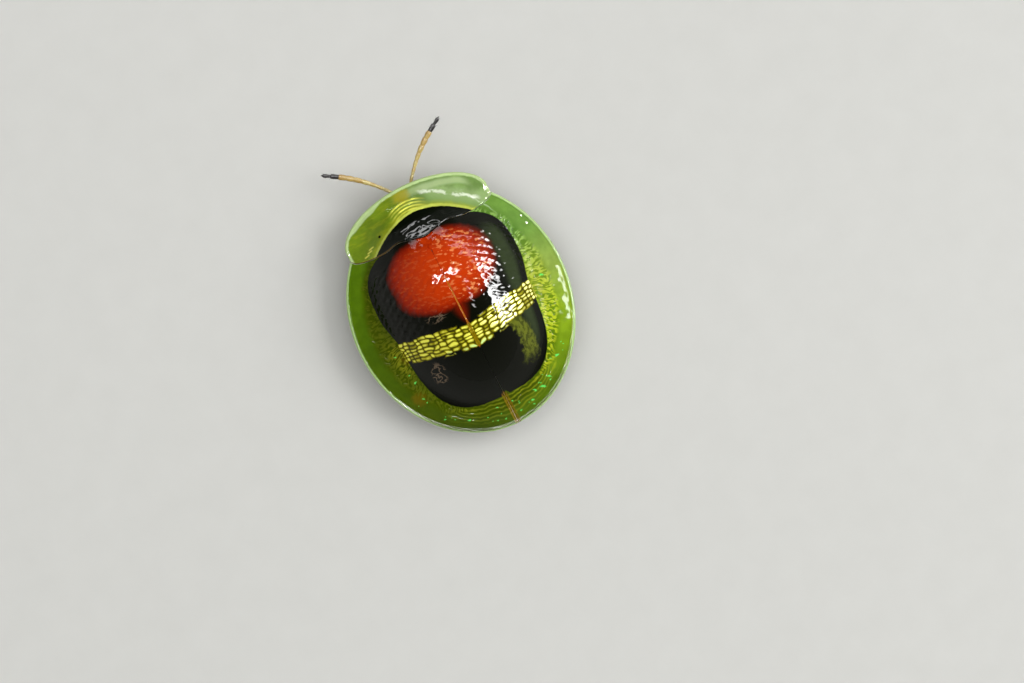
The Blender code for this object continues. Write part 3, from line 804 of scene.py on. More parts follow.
def paintElytra():
    look = elytronLook
    paint = Paint("elytraBlackRedGold")
    x, y, z = paint.place()
    where = paint.vector(x, y, z)
    side = abs(x)
    names = ("band", "tile", "fleck", "gap", "spark")
    band, tile, fleck, gap, spark = (paint.layer(name) for name in names)
    broad, fine = paint.noise(where, 1.1, 3.0), paint.noise(where, 7.0, 3.0)
    soft, speck = broad - 0.5, fine - 0.5
    half, centre, ahead, behind, power, rearPower = shell["disc"]
    start, length, narrow = shell["waist"]
    before = y.math("LESS_THAN", centre)
    reach = behind + (ahead - behind) * before
    half = half - paint.fade(y, start, start + length, 0.0, narrow)
    nickAt, nickWidth, nickDepth = shell["nick"]
    nick = nickDepth * paint.fall(abs(x + nickAt), 0.0, nickWidth) * paint.fade(y, 2.0, 3.0)
    endPower = rearPower + (power - rearPower) * before
    field = (side / half) ** power + (abs(y - centre) / reach) ** endPower + nick
    disc = paint.fall(field + 0.05 * speck, 0.985, 1.01)

    # the red patch fades into the black, with a tail on the seam, and orange squiggles over it that
    # are a painted reflection
    redHalf, redMiddle, redLength, redPower = look["red"]
    patch = (side / redHalf) ** redPower + (abs(y - redMiddle) / redLength) ** redPower
    tailWidth = 0.5 - 0.5 * y
    tail = paint.fade(side / tailWidth, 0.0, 1.1, 0.75, 0.0) ** 2
    tail = tail * paint.fall(y, 0.25, 0.75) * paint.fade(y, -0.7, -0.2)
    red = paint.fall(patch + 0.34 * soft + 0.18 * speck, 0.72, 1.2).most(tail)
    glow = paint.fall(patch + 0.7 * speck, 0.1, 0.95)
    redColour = paint.mix(glow, look["redDeep"], look["redBright"])
    # painted reflection: orange squiggles, strongest on the right half of the red
    sheenWorms = paint.noise(paint.vector(x, (y + 0.2 * x) * 2.2, z), 4.6, 2.0)
    shown = (0.12 + 0.88 * paint.fall(x, -0.9, 0.6)) * paint.fall(patch, 0.6, 1.0)
    redColour = paint.mix(0.7 * paint.fade(sheenWorms, 0.55, 0.63) * shown, redColour, look["worm"])

    # painted sheens, reflections painted into the black, on the picture's right and left
    black = look["black"]
    winding = abs(paint.noise(paint.vector(x * 0.8, y * 1.7, z), 3.4, 2.0) - 0.5)
    # painted reflection: faint brownish squiggles in the black
    for middle, reach in look["scuffs"]:
        away = paint.spot(x, y, middle, reach)
        scuff = paint.fall(winding, 0.01, 0.06) * paint.fall(away, 0.4, 1.2)
        black = paint.mix(scuff, black, look["scuff"])
    # painted reflection: a dull green sheen down the right flank
    flank = paint.fall(abs(field - 0.56), 0.08, 0.28) * paint.fall(x, -2.0, -1.65)
    flank = flank * paint.fade(y, -2.4, -1.6) * paint.fall(y, 2.2, 3.0) * (1.0 + 0.9 * soft)
    # painted reflection: an olive crescent with paler strands in the rear black
    moonY, moonEdge, bend = look["crescent"]
    inward = field - moonEdge - bend * (y - moonY) + 0.16 * speck + 0.1 * soft
    moon = paint.fade(inward, 0.0, 0.05) * paint.fall(inward, 0.2, 0.32) * paint.fall(x, -1.2, -0.9)
    moon = moon * paint.fade(y, moonY - 0.2, moonY) * paint.fall(y + 0.5 * speck, 2.3, 2.9)
    strands = paint.noise(paint.vector(x * 1.9, y, z), 4.5, 2.0)
    moon = moon * (0.4 + 0.6 * paint.fade(strands, 0.42, 0.6))
    black = paint.over(black, look, flankSheen=flank, crescentOlive=0.9 * moon)
    colour = paint.mix(red, black, redColour)

    # the gold band, plate by plate
    upper, lower = bandEdges(side)
    light = paint.fade(tile, 0.26, 0.6)
    gold = paint.mix(paint.fade(tile, 0.06, 0.34), look["tileGap"], look["tileDull"])
    # painted highlight: the plates on the right of the band are paler
    pale = paint.mix(paint.fall(x, -1.4, 0.5), look["tileBright"], look["tilePale"])
    gold = paint.mix(light, gold, pale)
    green = paint.fade(lower - y, 0.03, 0.16, 0.8, 0.0) * paint.fall(side, 1.0, 1.3) * light
    gold = paint.over(gold, look, tileGreen=green)
    colour = paint.mix(band, colour, gold)

    # the brim, golden and wrinkled near the disc, clearer toward its edge, with painted light:
    # lighter and golder on the right, shaded on the left
    right = paint.fall(x, -1.2, 1.2)
    along = (y + 0.4 * soft + 4.5) / 9.0
    names = ("leftGlass", "rightGlass", "rightOlive", "rightGold")
    leftGlass, rightGlass, rightOlive, rightGold = (
        paint.node("ShaderNodeValToRGB", {"stops": look[name]}, {0: along}) for name in names
    )
    glass = paint.mix(right, leftGlass, rightGlass)
    cloud = paint.fade(paint.noise(where, 2.6, 4.0, 0.6), 0.35, 0.65, 0.28, 0.0)
    glass = paint.mix(cloud, glass, (0.35, 0.4, 0.3), "MULTIPLY")
    olive = paint.mix(right, look["oliveLeft"], rightOlive)
    goldFleck = paint.mix(right, look["goldLeft"], rightGold)
    beside = paint.fall(abs(y - 0.75), 0.2, 0.9) * paint.fade(gap, 0.7, 1.1)
    behind = 0.8 * paint.fade(y, 3.0, 3.4) * (1 - 0.6 * right)
    goldFleck = paint.over(goldFleck, look, goldBeside=0.6 * beside, rearGold=behind)
    inner = paint.fade(gap + 0.25 * soft, 0.42, 0.75)
    brim = paint.mix(inner, glass, olive)
    brown = 0.0
    for middle, size in look["brownSpots"]:
        away = paint.spot(x, y, middle) ** 0.5 + 0.7 * soft + 0.3 * speck
        brown = paint.fade(away, 0.2 * size, size, 0.55, 0.0) + brown
    brim = paint.over(brim, look, brown=brown)
    brim = paint.mix(fleck * (0.7 + 0.7 * (fine - 0.4)), brim, goldFleck)
    edge = gap + 0.03 * speck + 0.04 * paint.fade(y, 2.2, 3.8)
    # painted highlight: the bright green glints, then the pale rim
    brim = paint.over(brim, look, spark=spark, rim=paint.fall(edge, 0.06, 0.1))
    colour = paint.mix(disc.most(band * paint.fade(tile, 0.1, 0.25)), brim, colour)

    # the seam, a fine orange line that doubles and widens on the brim behind
    line = paint.fall(side, 0.018, 0.034) * paint.fade(y, -1.15, -0.95)
    inBand = paint.fade(y - upper, -0.02, 0.02) * paint.fade(lower - y, -0.02, 0.02)
    inBand = inBand * paint.fall(side, 0.04, 0.065)
    inBlack = paint.fade(y - lower, 0.0, 0.1) * paint.fall(y, 3.25, 3.35)
    double = paint.fall(abs(side - 0.075), 0.012, 0.036) * paint.fade(y, 3.3, 3.4)
    seamColour = paint.mix(inBand, look["seam"], look["bandSeam"])
    seamColour = paint.mix(0.85 * paint.fade(y, 3.2, 3.3), seamColour, look["rearSeam"])
    seam = (line * (1 - inBlack)).most(inBand).most(0.75 * double)
    colour = paint.mix(0.9 * seam, colour, seamColour)

    grain = paint.noise(where, 22.0, 3.0)
    glassy = paint.fall(gap, 0.45, 0.62)
    lobe = 1 - 0.9 * paint.fall(y, -2.3, -2.1) * paint.fall(side, 0.9, 1.3)
    return paint.set(
        BaseColor=colour,
        Roughness=0.34 + 0.12 * grain,
        Metallic=0.2 * band * light,
        Alpha=0.95 + 0.05 * disc.most(fleck),
        Normal=paint.bump(grain, fineGrain),
        CoatWeight=0.08 + 0.28 * disc * lobe + 0.42 * glassy * (1 - disc),
        **gloss,
    )


# The scutellum, a small red triangle at the front of the seam


def makeScutellum(material):
    rows, columns = scutellum["rows"], scutellum["columns"]
    w = np.linspace(0, 1, rows + 1)[:, None]
    u = np.linspace(-1, 1, columns + 1)[None, :]
    half = scutellum["half"] * (1 - scutellum["taper"] * w**1.15)
    x = u * half
    frontY = pronotumRear(x) + shell["baseGap"]
    y = frontY + w * (scutellum["length"] + pronotumRear(0.0) + shell["baseGap"] - frontY)
    edge = np.minimum((1 - abs(u)) * half, (1 - w) * scutellum["length"])
    relief = scutellum["lift"] - rounded(edge, scutellum["edgeRound"])
    relief = relief + scutellum["rough"] * sway(x, y * 1.7, 0.17, 24)
    plan = np.stack(np.broadcast_arrays(x, y), axis=-1)
    plate("scutellumPlate", plan, relief, material, "scutellum", {})


# The pronotum


pronotumShape = {
    "columns": 330,
    "rows": 150,
    "end": 0.992,
    "disc": (1.97, -3.525, 0.925, 1.89),      # half width, front, length, power
    "bead": (0.055, 0.04, 0.03),              # place, width and height
    "edgeRound": (0.04, 0.045),               # width and fall of the rounded front edge
    "rearRound": (0.018, 0.016),
    "rearBead": (0.035, 0.02, 0.007),
    "wrinkle": 0.036,
    "waves": ((0.26, 44, 0.012), (0.12, 46, 0.009)),     # in the clear part: size, seed, height
    "fan": (0.13, -2.7, 0.74, 0.9, 1.34, 4.0),     # arcs before it: x, y, half, radii, count
    "fanHeight": 0.006,
}


def pronotumFrontGap(x, y):
    # how far a point lies behind the front edge
    half = beetle["pronotumHalf"]
    reach = beetle["pronotumWidestY"] + beetle["frontReach"]
    back = np.minimum(y - beetle["pronotumWidestY"], 0.0)
    q = np.sqrt((x / half) ** 2 + (back / reach) ** 2) + 1e-9
    slope = np.sqrt((x / half**2) ** 2 + (back / reach**2) ** 2) / q + 1e-9
    return (1 - q) / slope


def makePronotum(material):
    rows, columns = pronotumShape["rows"], pronotumShape["columns"]
    turn = np.linspace(-1, 1, columns + 1)[None, :]
    x = pronotumShape["end"] * beetle["pronotumHalf"] * np.sin(math.pi / 2 * turn)
    t = np.linspace(0, 1, rows + 1)[:, None]
    w = t - 0.3 * np.sin(2 * math.pi * t) / (2 * math.pi)
    y = (1 - w) * pronotumFront(x) + w * pronotumRear(x)
    x = np.broadcast_to(x, y.shape)
    half, front, length, power = pronotumShape["disc"]
    inDisc = smoothStep(((y - front) / length - (abs(x) / half) ** power) / 0.2)
    gap = pronotumFrontGap(x, y)
    rearGap = pronotumRear(x) - y
    warp = softNoise(x, y, 0.3, 43)
    folds = softNoise(x + 0.4 * warp, (y + 0.12 * warp) * 1.3, 0.33, 41)
    folds = folds + 0.16 * softNoise(x, y * 1.6, 0.13, 42)
    relief = pronotumShape["wrinkle"] * inDisc * (abs(folds - 0.6) * 2 - 0.3)
    relief = relief * smoothStep((rearGap + 0.05) / 0.15)
    relief = relief * (0.45 + 0.55 * smoothStep((y + 3.4) / 0.4))
    fanX, fanY, fanHalf, inner, outer, count = pronotumShape["fan"]
    share = (np.hypot(x - fanX, y - fanY) - inner) / (outer - inner)
    fan = np.clip(0.5 - 0.5 * np.cos(2 * math.pi * count * share), 0, 1) ** 1.3
    fan = fan * smoothStep((1.05 - share) / 0.1) * smoothStep(share / 0.1)
    fan = fan * (1 - inDisc) * smoothStep((fanHalf - abs(x - fanX)) / 0.3) * (y < fanY)
    fan = fan * (0.3 + 0.7 * softNoise(x, y, 0.12, 45))
    relief = relief + pronotumShape["fanHeight"] * fan
    relief = relief + beaded(gap, pronotumShape["bead"]) - rounded(gap, pronotumShape["edgeRound"])
    rear = beaded(rearGap, pronotumShape["rearBead"])
    relief = relief + rear - rounded(rearGap, pronotumShape["rearRound"])
    for size, seed, height in pronotumShape["waves"]:
        relief = relief + height * softNoise(x, y, size, seed) * (1 - inDisc)
    plan = np.stack((x, y), axis=-1)
    layers = {"fold": np.clip(folds / 1.16, 0, 1), "fan": fan}
    layers |= {"edge": np.clip(gap, 0, 4), "rear": np.clip(rearGap, 0, 3)}
    plate("pronotumShell", plan, relief, material, "pronotum", layers)


pronotumLook = {
    "black": (0.003, 0.0045, 0.002),
    "glassLeft": (0.19, 0.3, 0.014),
    "glassRight": (0.2, 0.34, 0.085),
    # painted highlights on the right of the glass
    "mist": (0.5, 0.62, 0.32),
    "streak": (0.85, 0.92, 0.72),
    "streakLine": (-4.42, 0.62),             # where it crosses the middle, and its slant
    "yellow": (0.42, 0.34, 0.01),
    "gold": (0.85, 0.8, 0.12),
    "line": (0.5, 0.56, 0.09),
    "haloGold": (0.42, 0.44, 0.02),
    "rim": (0.5, 0.66, 0.29),
    "smudge": ((0.13, -4.2), (0.3, 0.26)),   # middle, half width and half length
    "bars": ((1.83, -3.08), (1.93, -2.99), (2.08, -2.9)),
    "dot": ((1.39, -3.3), 0.065),            # middle and size
    "rearLine": (0.16, 0.1, 0.03),
}


def paintPronotum():
    look = pronotumLook
    paint = Paint("pronotumGreenGlass")
    x, y, z = paint.place()
    side = abs(x)
    where = paint.vector(x, y, z)
    broad, fine = paint.noise(where, 1.3, 3.0), paint.noise(where, 8.0, 3.0)
    soft, speck = broad - 0.5, fine - 0.5
    gap, fold, fan, rear = (paint.layer(name) for name in ("edge", "fold", "fan", "rear"))
    half, front, length, power = pronotumShape["disc"]
    field = (y - front) / length - (side / half) ** power
    ragged = field + 0.05 * speck
    disc = paint.fade(ragged, -0.012, 0.02)
    # the glass is painted paler on the lit right side, a painted reflection
    right = paint.fall(x, -0.7, 0.7)
    colour = paint.mix(right, look["glassLeft"], look["glassRight"])
    cloud = paint.fade(broad + 0.3 * speck, 0.35, 0.65, 0.35, 0.0)
    colour = paint.mix(cloud, colour, (0.3, 0.3, 0.3), "MULTIPLY")
    # painted highlight: a pale mist along the front edge on the right
    band = paint.fall(abs(gap - 0.3 + 0.1 * soft), 0.04, 0.2) * right * paint.fade(side, 2.3, 1.9)
    colour = paint.over(colour, look, mist=0.6 * band)
    # painted highlight: a white streak with a pale haze across the right of the glass
    startY, slant = look["streakLine"]
    across = abs(y - startY + slant * x + 0.35 * soft + 0.16 * speck)
    streak = paint.fall(across, 0.02, 0.12) * paint.fall(x, -0.6, -0.35)
    streak = streak * paint.fade(x, -2.35, -2.1) * paint.fade(paint.noise(where, 3.2, 3.0), 0.36, 0.5)
    haze = paint.fade(across, 0.1, 0.5, 0.3, 0.0) * paint.fall(x, -0.9, -0.4)
    threads = paint.noise(paint.vector(x * 1.2, y * 4.0, z), 2.4, 3.0)
    threads = paint.fade(threads, 0.45, 0.7, 0.0, 0.35) * (1 - right)
    smudge = paint.fade(paint.spot(x, y, *look["smudge"]) + 1.1 * speck, 0.0, 1.7, 0.7, 0.0)
    colour = paint.over(colour, look, mist=haze, streak=0.75 * streak, haloGold=threads)
    halo = paint.fade(ragged, -0.34, -0.06) * (0.35 + 0.65 * fine)
    colour = paint.over(colour, look, yellow=smudge, haloGold=0.8 * halo)
    for barX, barY in look["bars"]:
        along = (x - barX) * 0.98 + (y - barY) * 0.2
        over = (y - barY) * 0.98 - (x - barX) * 0.2
        bar = paint.fall(abs(along), 0.06, 0.13) * paint.fall(abs(over), 0.01, 0.035)
        colour = paint.over(colour, look, gold=0.8 * bar)
    line = paint.fade(ragged + 0.035 * right, -0.11, -0.05) * (0.7 + 0.6 * (fine - 0.3))
    corner = paint.fade(abs(x - 1.6), 0.3, 0.8, 0.1, 0.0)
    edge = paint.fall(gap - corner + 0.06 * speck, 0.09, 0.15)
    dotMiddle, dotSize = look["dot"]
    dot = paint.fall(paint.spot(x, y, dotMiddle) ** 0.5 + 0.03 * speck, 0.5 * dotSize, dotSize)
    black = disc.most(dot)
    rearEdge = 0.8 * paint.fall(rear, 0.02, 0.05) * paint.fade(x, 0.7, 1.3)
    colour = paint.over(colour, look, gold=0.95 * fan, line=line, rim=edge)
    colour = paint.over(colour, look, black=black, rearLine=rearEdge)
    grain = paint.noise(where, 20.0, 3.0)
    middle = paint.fall(abs(x + 0.3), 1.2, 2.0)
    return paint.set(
        BaseColor=colour,
        Roughness=0.32 + 0.15 * fold * disc,
        Metallic=0.2 * line.most(fan) * (1 - black),
        Alpha=0.93 + 0.07 * black.most(halo),
        Normal=paint.bump(grain, fineGrain),
        CoatWeight=0.38 * black * paint.fade(y, -3.3, -3.1) + (0.5 - 0.45 * middle) * (1 - black),
        **gloss,
    )


def paintScutellum():
    paint = Paint("scutellumRed")
    where = paint.where()
    broad, rough = paint.noise(where, 1.1, 3.0), paint.noise(where, 7.0, 3.0)
    share = paint.fade(rough + 0.4 * (broad - 0.5), 0.3, 0.8)
    grain = paint.noise(where, 22.0, 3.0)
    return paint.set(
        BaseColor=paint.mix(share, elytronLook["redBright"], elytronLook["redDeep"]),
        Roughness=0.34 + 0.12 * grain,
        Normal=paint.bump(grain, fineGrain),
        CoatWeight=0.06,
        **gloss,
    )


# The underside of the body, one skin from the throat to the tail


trunk = {
    "frontY": -2.9,
    "rearY": 2.86,
    "half": 2.02,
    "frontShare": 0.6,
    "swellRate": 1.6,
    "flank": 1.5,
    "venter": 1.34,
    "belly": 0.1,              # how much the middle of the belly hangs below its sides
    "tail": (0.9, 3.1, 0.42),  # where the tail starts and ends to sink, and by how much
    "underShell": 0.2,
    "flankRoom": 0.12,         # at least, between the flank and the back over it
    "rings": 190,
    "sides": 120,
    "joints": (-1.68, -1.12, 0.68, 1.16, 1.52, 1.86, 2.2, 2.52),
    "groove": (0.05, 0.035),   # depth and width
    "hips": ((0.52, -2.2), (0.74, -0.9), (0.8, 0.28)),
}


def trunkRelief(x, y, half):
    # grooves between the plates of the belly, the middle line and fine pits
    share = x / half
    depth, width = trunk["groove"]
    height = 0.0 * x
    for k, at in enumerate(trunk["joints"]):
        bend = 0.12 * share**2 * (1 if k < 3 else -0.7)
        height = height + depth * bell((y - at - bend) / width) * (1 if k < 4 else 0.8)
        if k >= 2:
            height = height - 0.02 * bell((y - at - bend - 0.1) / 0.08)
    middle = smoothStep((y + 1.0) / 0.2) * smoothStep((0.62 - y) / 0.2)
    height = height + 0.035 * bell(x / 0.03) * middle
    process = bell(x / 0.16) * smoothStep((y + 2.7) / 0.3) * smoothStep((-1.4 - y) / 0.3)
    height = height - 0.09 * process
    for hipX, hipY in trunk["hips"]:
        away = np.sqrt((abs(x) - hipX) ** 2 + (y - hipY) ** 2)
        height = height + 0.06 * bell(away / 0.24) - 0.035 * bell((away - 0.33) / 0.06)
    pits = softNoise(x, y, 0.06, 51) ** 3
    return height + 0.014 * pits + 0.02 * sway(x, y, 0.35, 52)


def makeTrunk(material):
    rings, sides = trunk["rings"], trunk["sides"]
    y = np.linspace(trunk["frontY"], trunk["rearY"], rings)
    sinkStart, sinkEnd, sink = trunk["tail"]
    drop = sink * smoothStep((y - sinkStart) / (sinkEnd - sinkStart))
    t = (y - y[0]) / (y[-1] - y[0])
    grown = np.sin(math.pi / 2 * np.clip(trunk["swellRate"] * t, 0, 1))
    most = trunk["half"] * (trunk["frontShare"] + (1 - trunk["frontShare"]) * grown)
    tries = np.linspace(0.0, trunk["half"], 300)[None, :]
    flank = (trunk["flank"] - drop)[:, None]
    fits = shellHeight(tries, y[:, None]) - trunk["underShell"] - trunk["flankRoom"] > flank
    room = np.where(fits, tries, 0.0).max(axis=1)
    endRound = np.clip(1 - np.clip((t - 0.86) / 0.14, 0, 1) ** 2.6, 0.01, 1) ** 0.5
    throat = np.clip(1 - np.clip((0.06 - t) / 0.06, 0, 1) ** 2.4, 0.05, 1) ** 0.5
    half = np.minimum(most, room) * endRound * throat
    turn = np.linspace(0, 2 * math.pi, sides, endpoint=False)[None, :]
    half, across = half[:, None], np.cos(turn)
    x = half * across
    y2 = np.broadcast_to(y[:, None], x.shape)
    top = shellHeight(x, y2) - trunk["underShell"]
    venter = (trunk["venter"] - drop)[:, None] - trunk["belly"] * (1 - across**2)
    venter = venter + trunkRelief(x, y2, half)
    lift = abs(np.sin(turn)) ** 0.5
    end = np.where(turn < math.pi, top, venter)
    shrink = (endRound * throat)[:, None]
    z = flank + (end - flank) * lift * np.where(turn < math.pi, 0.3 + 0.7 * shrink, shrink)
    points = np.stack((x, y2, z), axis=-1).reshape(-1, 3)
    faces = gridFaces(rings, sides, ring=True)
    faces.append(tuple(range(sides)))
    faces.append(tuple(range((rings - 1) * sides, rings * sides)))
    nodes = ["prosternum", "thorax", "abdomen"]
    return makePiece("bodyUnderside", [(points, faces)], [material], nodes)


trunkLook = {
    "middle": (0.09, 0.03, 0.006),
    "sides": (0.36, 0.2, 0.03),
    "chest": (0.022, 0.012, 0.006),
    "throat": (0.14, 0.055, 0.012),
    "grime": (0.03, 0.015, 0.005),
}


def paintTrunk():
    look = trunkLook
    paint = Paint("undersideBrown")
    x, y, z = paint.place()
    where = paint.vector(x, y, z)
    broad, fine = paint.noise(where, 2.0, 3.0), paint.noise(where, 11.0, 4.0)
    chest = paint.fall(y + 0.3 * (broad - 0.5), 0.55, 0.85)
    throat = paint.fall(y + 0.2 * (fine - 0.5), -2.5, -1.9)
    aside = paint.fade(abs(x) + 0.3 * (fine - 0.5), 0.9, 1.7)
    colour = paint.mix(aside, look["middle"], look["sides"])
    colour = paint.over(colour, look, chest=chest, throat=throat)
    colour = paint.mix(0.5 * fine, colour, look["grime"], "MULTIPLY")
    return paint.set(
        BaseColor=colour,
        Roughness=0.34 + 0.2 * fine,
        Normal=paint.bump(fine + 0.5 * paint.noise(where, 30.0, 2.0), 0.012),
        CoatWeight=0.4,
        CoatRoughness=0.15,
        SpecularIORLevel=0.4,
    )


# The head, its face toward the floor in front


head = {
    "centre": (0.0, -3.28, 1.02),
    "half": (0.68, 0.52, 0.55),
    "eye": (0.62, -3.36, 1.06),
    "eyeHalf": (0.19, 0.28, 0.31),
    "socket": (0.4, 0.08),         # of a feeler, on the unit face
    "labrum": (0.0, -3.62, 0.6),
    "labrumHalf": (0.27, 0.16, 0.14),
    "clypeus": ((-0.3, -3.63, 0.72), (0.0, -3.7, 0.73), (0.3, -3.63, 0.72)),
    "jaw": ((0.33, -3.5, 0.66), (0.3, -3.6, 0.52), (0.16, -3.66, 0.45), (0.02, -3.67, 0.44)),
    "cheek": ((0.42, -3.28, 0.62), (0.4, -3.42, 0.56), (0.34, -3.5, 0.6)),
    "palp": (
        (0.38, -3.4, 0.6), (0.45, -3.48, 0.52), (0.45, -3.6, 0.44), (0.38, -3.7, 0.42),
        (0.28, -3.78, 0.43),
    ),
    "palpWidths": (0.06, 0.066, 0.07, 0.062),
    "innerPalp": ((0.12, -3.48, 0.5), (0.15, -3.58, 0.42), (0.13, -3.68, 0.38)),
    "chin": ((0.0, -3.2, 0.56), (0.0, -3.36, 0.48), (0.0, -3.5, 0.48)),
    "neck": ((0.0, -3.05, 1.12), (0.0, -2.85, 1.2), (0.0, -2.6, 1.28)),
    "hairs": 90,
    "hair": (0.09, 0.004),         # length and radius
}


def skullShape(unit):
    x, y, z = unit[:, 0], unit[:, 1], unit[:, 2]
    face = smoothStep(-y * 1.6)
    grow = -0.07 * bell(x / 0.07) * face * smoothStep((z + 0.1) / 0.4)
    grow += 0.1 * bell(x / (0.16 + 0.28 * np.clip(-z, 0, 1))) * smoothStep((-z - 0.05) / 0.4) * face
    for side in (1, -1):
        line = abs(z + 0.12 + 0.75 * (side * x - 0.14))
        grow -= 0.045 * bell(line / 0.06) * face * smoothStep((side * x) / 0.1)
    away = np.sqrt((abs(x) - head["socket"][0]) ** 2 + (z - head["socket"][1]) ** 2)
    grow += (0.06 * bell((away - 0.15) / 0.05) - 0.14 * bell(away / 0.09)) * face
    brow = np.sqrt((abs(x) - 0.92) ** 2 + (y + 0.12) ** 2 * 0.6 + (z - 0.08) ** 2 * 0.6)
    grow += 0.05 * bell((brow - 0.42) / 0.07) - 0.1 * bell(brow / 0.3)
    neck = smoothStep((y - 0.35) / 0.5)
    pits = softNoise(x + 3, z + 2 * y, 0.07, 61) ** 3
    grow += -0.022 * pits + 0.03 * sway(x, z + y, 0.4, 62)
    flat = 1 - 0.1 * face * bell((z + 0.2) / 0.7)
    out = unit * (1 + grow)[:, None]
    out[:, 1] *= flat
    out[:, 0] *= 1 - 0.18 * neck
    return out


def labrumShape(unit):
    x, y, z = unit[:, 0], unit[:, 1], unit[:, 2]
    out = unit.copy()
    out[:, 2] += 0.25 * bell(x / 0.25) * smoothStep(-z) * smoothStep(-y + 0.4)
    out[:, 1] *= 1 + 0.1 * bell(x / 0.5)
    return out


def makeHead(material, dark):
    shapes, slots = [], []

    def add(shape, slot=0):
        shapes.append(shape)
        slots.append(slot)

    add(globe(head["centre"], head["half"], skullShape, rings=96, sides=128))
    add(globe(head["labrum"], head["labrumHalf"], labrumShape, rings=30, sides=44))
    add(limb(head["clypeus"], [(0, 0.05), (0.5, 0.07), (1, 0.05)], rings=26))
    palp, inner = (np.array(head[key]) for key in ("palp", "innerPalp"))
    for side, _ in bothSides:
        jaw = limb(head["jaw"], [(0, 0.1), (0.4, 0.09), (0.8, 0.06), (1, 0.02)], deep=1.2, rings=24)
        add(mirror(jaw, side), 1)
        add(mirror(limb(head["cheek"], [(0, 0.13), (0.5, 0.14), (1, 0.1)], rings=20), side))
        for k, width in enumerate(head["palpWidths"]):
            a, b = palp[k], palp[k + 1]
            last = k == len(head["palpWidths"]) - 1
            profile = [(0, 0.75 * width), (0.7, width), (1, 0.03 if last else 0.8 * width)]
            joint = limb([a - 0.12 * (b - a), (a + b) / 2, b], profile, rings=14, sides=12)
            add(mirror(joint, side), 1 if last else 0)
        for a, b in zip(inner, inner[1:]):
            profile = [(0, 0.035), (0.7, 0.045), (1, 0.03)]
            joint = limb([a - 0.1 * (b - a), (a + b) / 2, b], profile, rings=12, sides=10)
            add(mirror(joint, side))
    add(limb(head["chin"], [(0, 0.2), (0.5, 0.2), (1, 0.12)], deep=0.5, rings=22))
    add(limb(head["neck"], [(0, 0.46), (0.5, 0.48), (1, 0.5)], deep=0.75, rings=20, sides=32))
    random = np.random.default_rng(71)
    roots, aims = [], []
    wide, _, tall = head["half"]
    for _ in range(head["hairs"]):
        x, z = random.uniform(-0.5, 0.5), random.uniform(-0.45, 0.35)
        y = -math.sqrt(max(0.05, 1 - (x / wide) ** 2 - (z / tall) ** 2))
        roots.append((x, head["centre"][1] + 0.5 * y, head["centre"][2] + z))
        aims.append((x, -0.8, z - 0.5))
    add(hairs(roots, aims, *head["hair"]))
    makePiece("headCapsule", shapes, [material, dark], ["head"], slots=slots)


def eyeShape(unit):
    out = unit.copy()
    notch = 0.16 * bell((unit[:, 2] - 0.1) / 0.3)
    notch = notch * smoothStep(-unit[:, 1] - 0.2) * smoothStep(0.5 - unit[:, 0])
    return out * (1 - notch)[:, None]


def makeEyes(material):
    for side, name in bothSides:
        ball = globe(head["eye"], head["eyeHalf"], eyeShape, rings=48, sides=64)
        shapes, nodes = [mirror(ball, side)], [f"eye_{name}"]
        makePiece(f"compoundEye_{name}", shapes, [material], nodes)


eyeLook = {"groove": (0.003, 0.002, 0.002), "facet": (0.035, 0.018, 0.012)}
amberLook = {
    "headAmber": ((0.55, 0.3, 0.07), (0.38, 0.16, 0.03)),
    "legAmber": ((0.62, 0.38, 0.08), (0.42, 0.2, 0.035)),
    "spot": (0.12, 0.035, 0.006),
}
darkLook = {"deep": (0.02, 0.008, 0.003), "warm": (0.12, 0.035, 0.008)}


def paintEyes():
    paint = Paint("eyeFacets")
    where = paint.where()
    facet = paint.cells(where, 38.0, wander=0.25)
    dome = paint.fall(facet, 0.1, 0.75)
    return paint.set(
        BaseColor=paint.mix(dome, eyeLook["groove"], eyeLook["facet"]),
        Roughness=0.12 + 0.2 * (1 - dome),
        Normal=paint.bump(dome, 0.01),
        CoatWeight=0.8,
        CoatRoughness=0.05,
    )


def paintAmber(name):
    paint = Paint(name)
    where = paint.where()
    broad, fine = paint.noise(where, 3.0, 3.0), paint.noise(where, 16.0, 4.0)
    colour = paint.mix(paint.fade(broad + 0.4 * (fine - 0.5), 0.3, 0.7), *amberLook[name])
    spots = paint.cells(where, 14.0)
    colour = paint.over(colour, amberLook, spot=paint.fade(spots, 0.12, 0.3, 0.4, 0.0))
    return paint.set(
        BaseColor=colour,
        Roughness=0.3 + 0.25 * fine,
        Normal=paint.bump(fine - 0.6 * paint.fall(spots, 0.05, 0.3), 0.008),
        CoatWeight=0.35,
        CoatRoughness=0.12,
        SubsurfaceWeight=0.12,
        SubsurfaceRadius=(0.3 * mm, 0.15 * mm, 0.05 * mm),
        SubsurfaceScale=1.0,
        SpecularIORLevel=0.45,
    )


def paintDark():
    paint = Paint("clawAndJawDark")
    where = paint.where()
    fine = paint.noise(where, 14.0, 3.0)
    return paint.set(
        BaseColor=paint.mix(fine, darkLook["deep"], darkLook["warm"]),
        Roughness=0.22 + 0.15 * fine,
        Normal=paint.bump(fine, 0.006),
        CoatWeight=0.5,
        CoatRoughness=0.1,
    )


# The feelers, eleven joints each, out from under the front of the pronotum


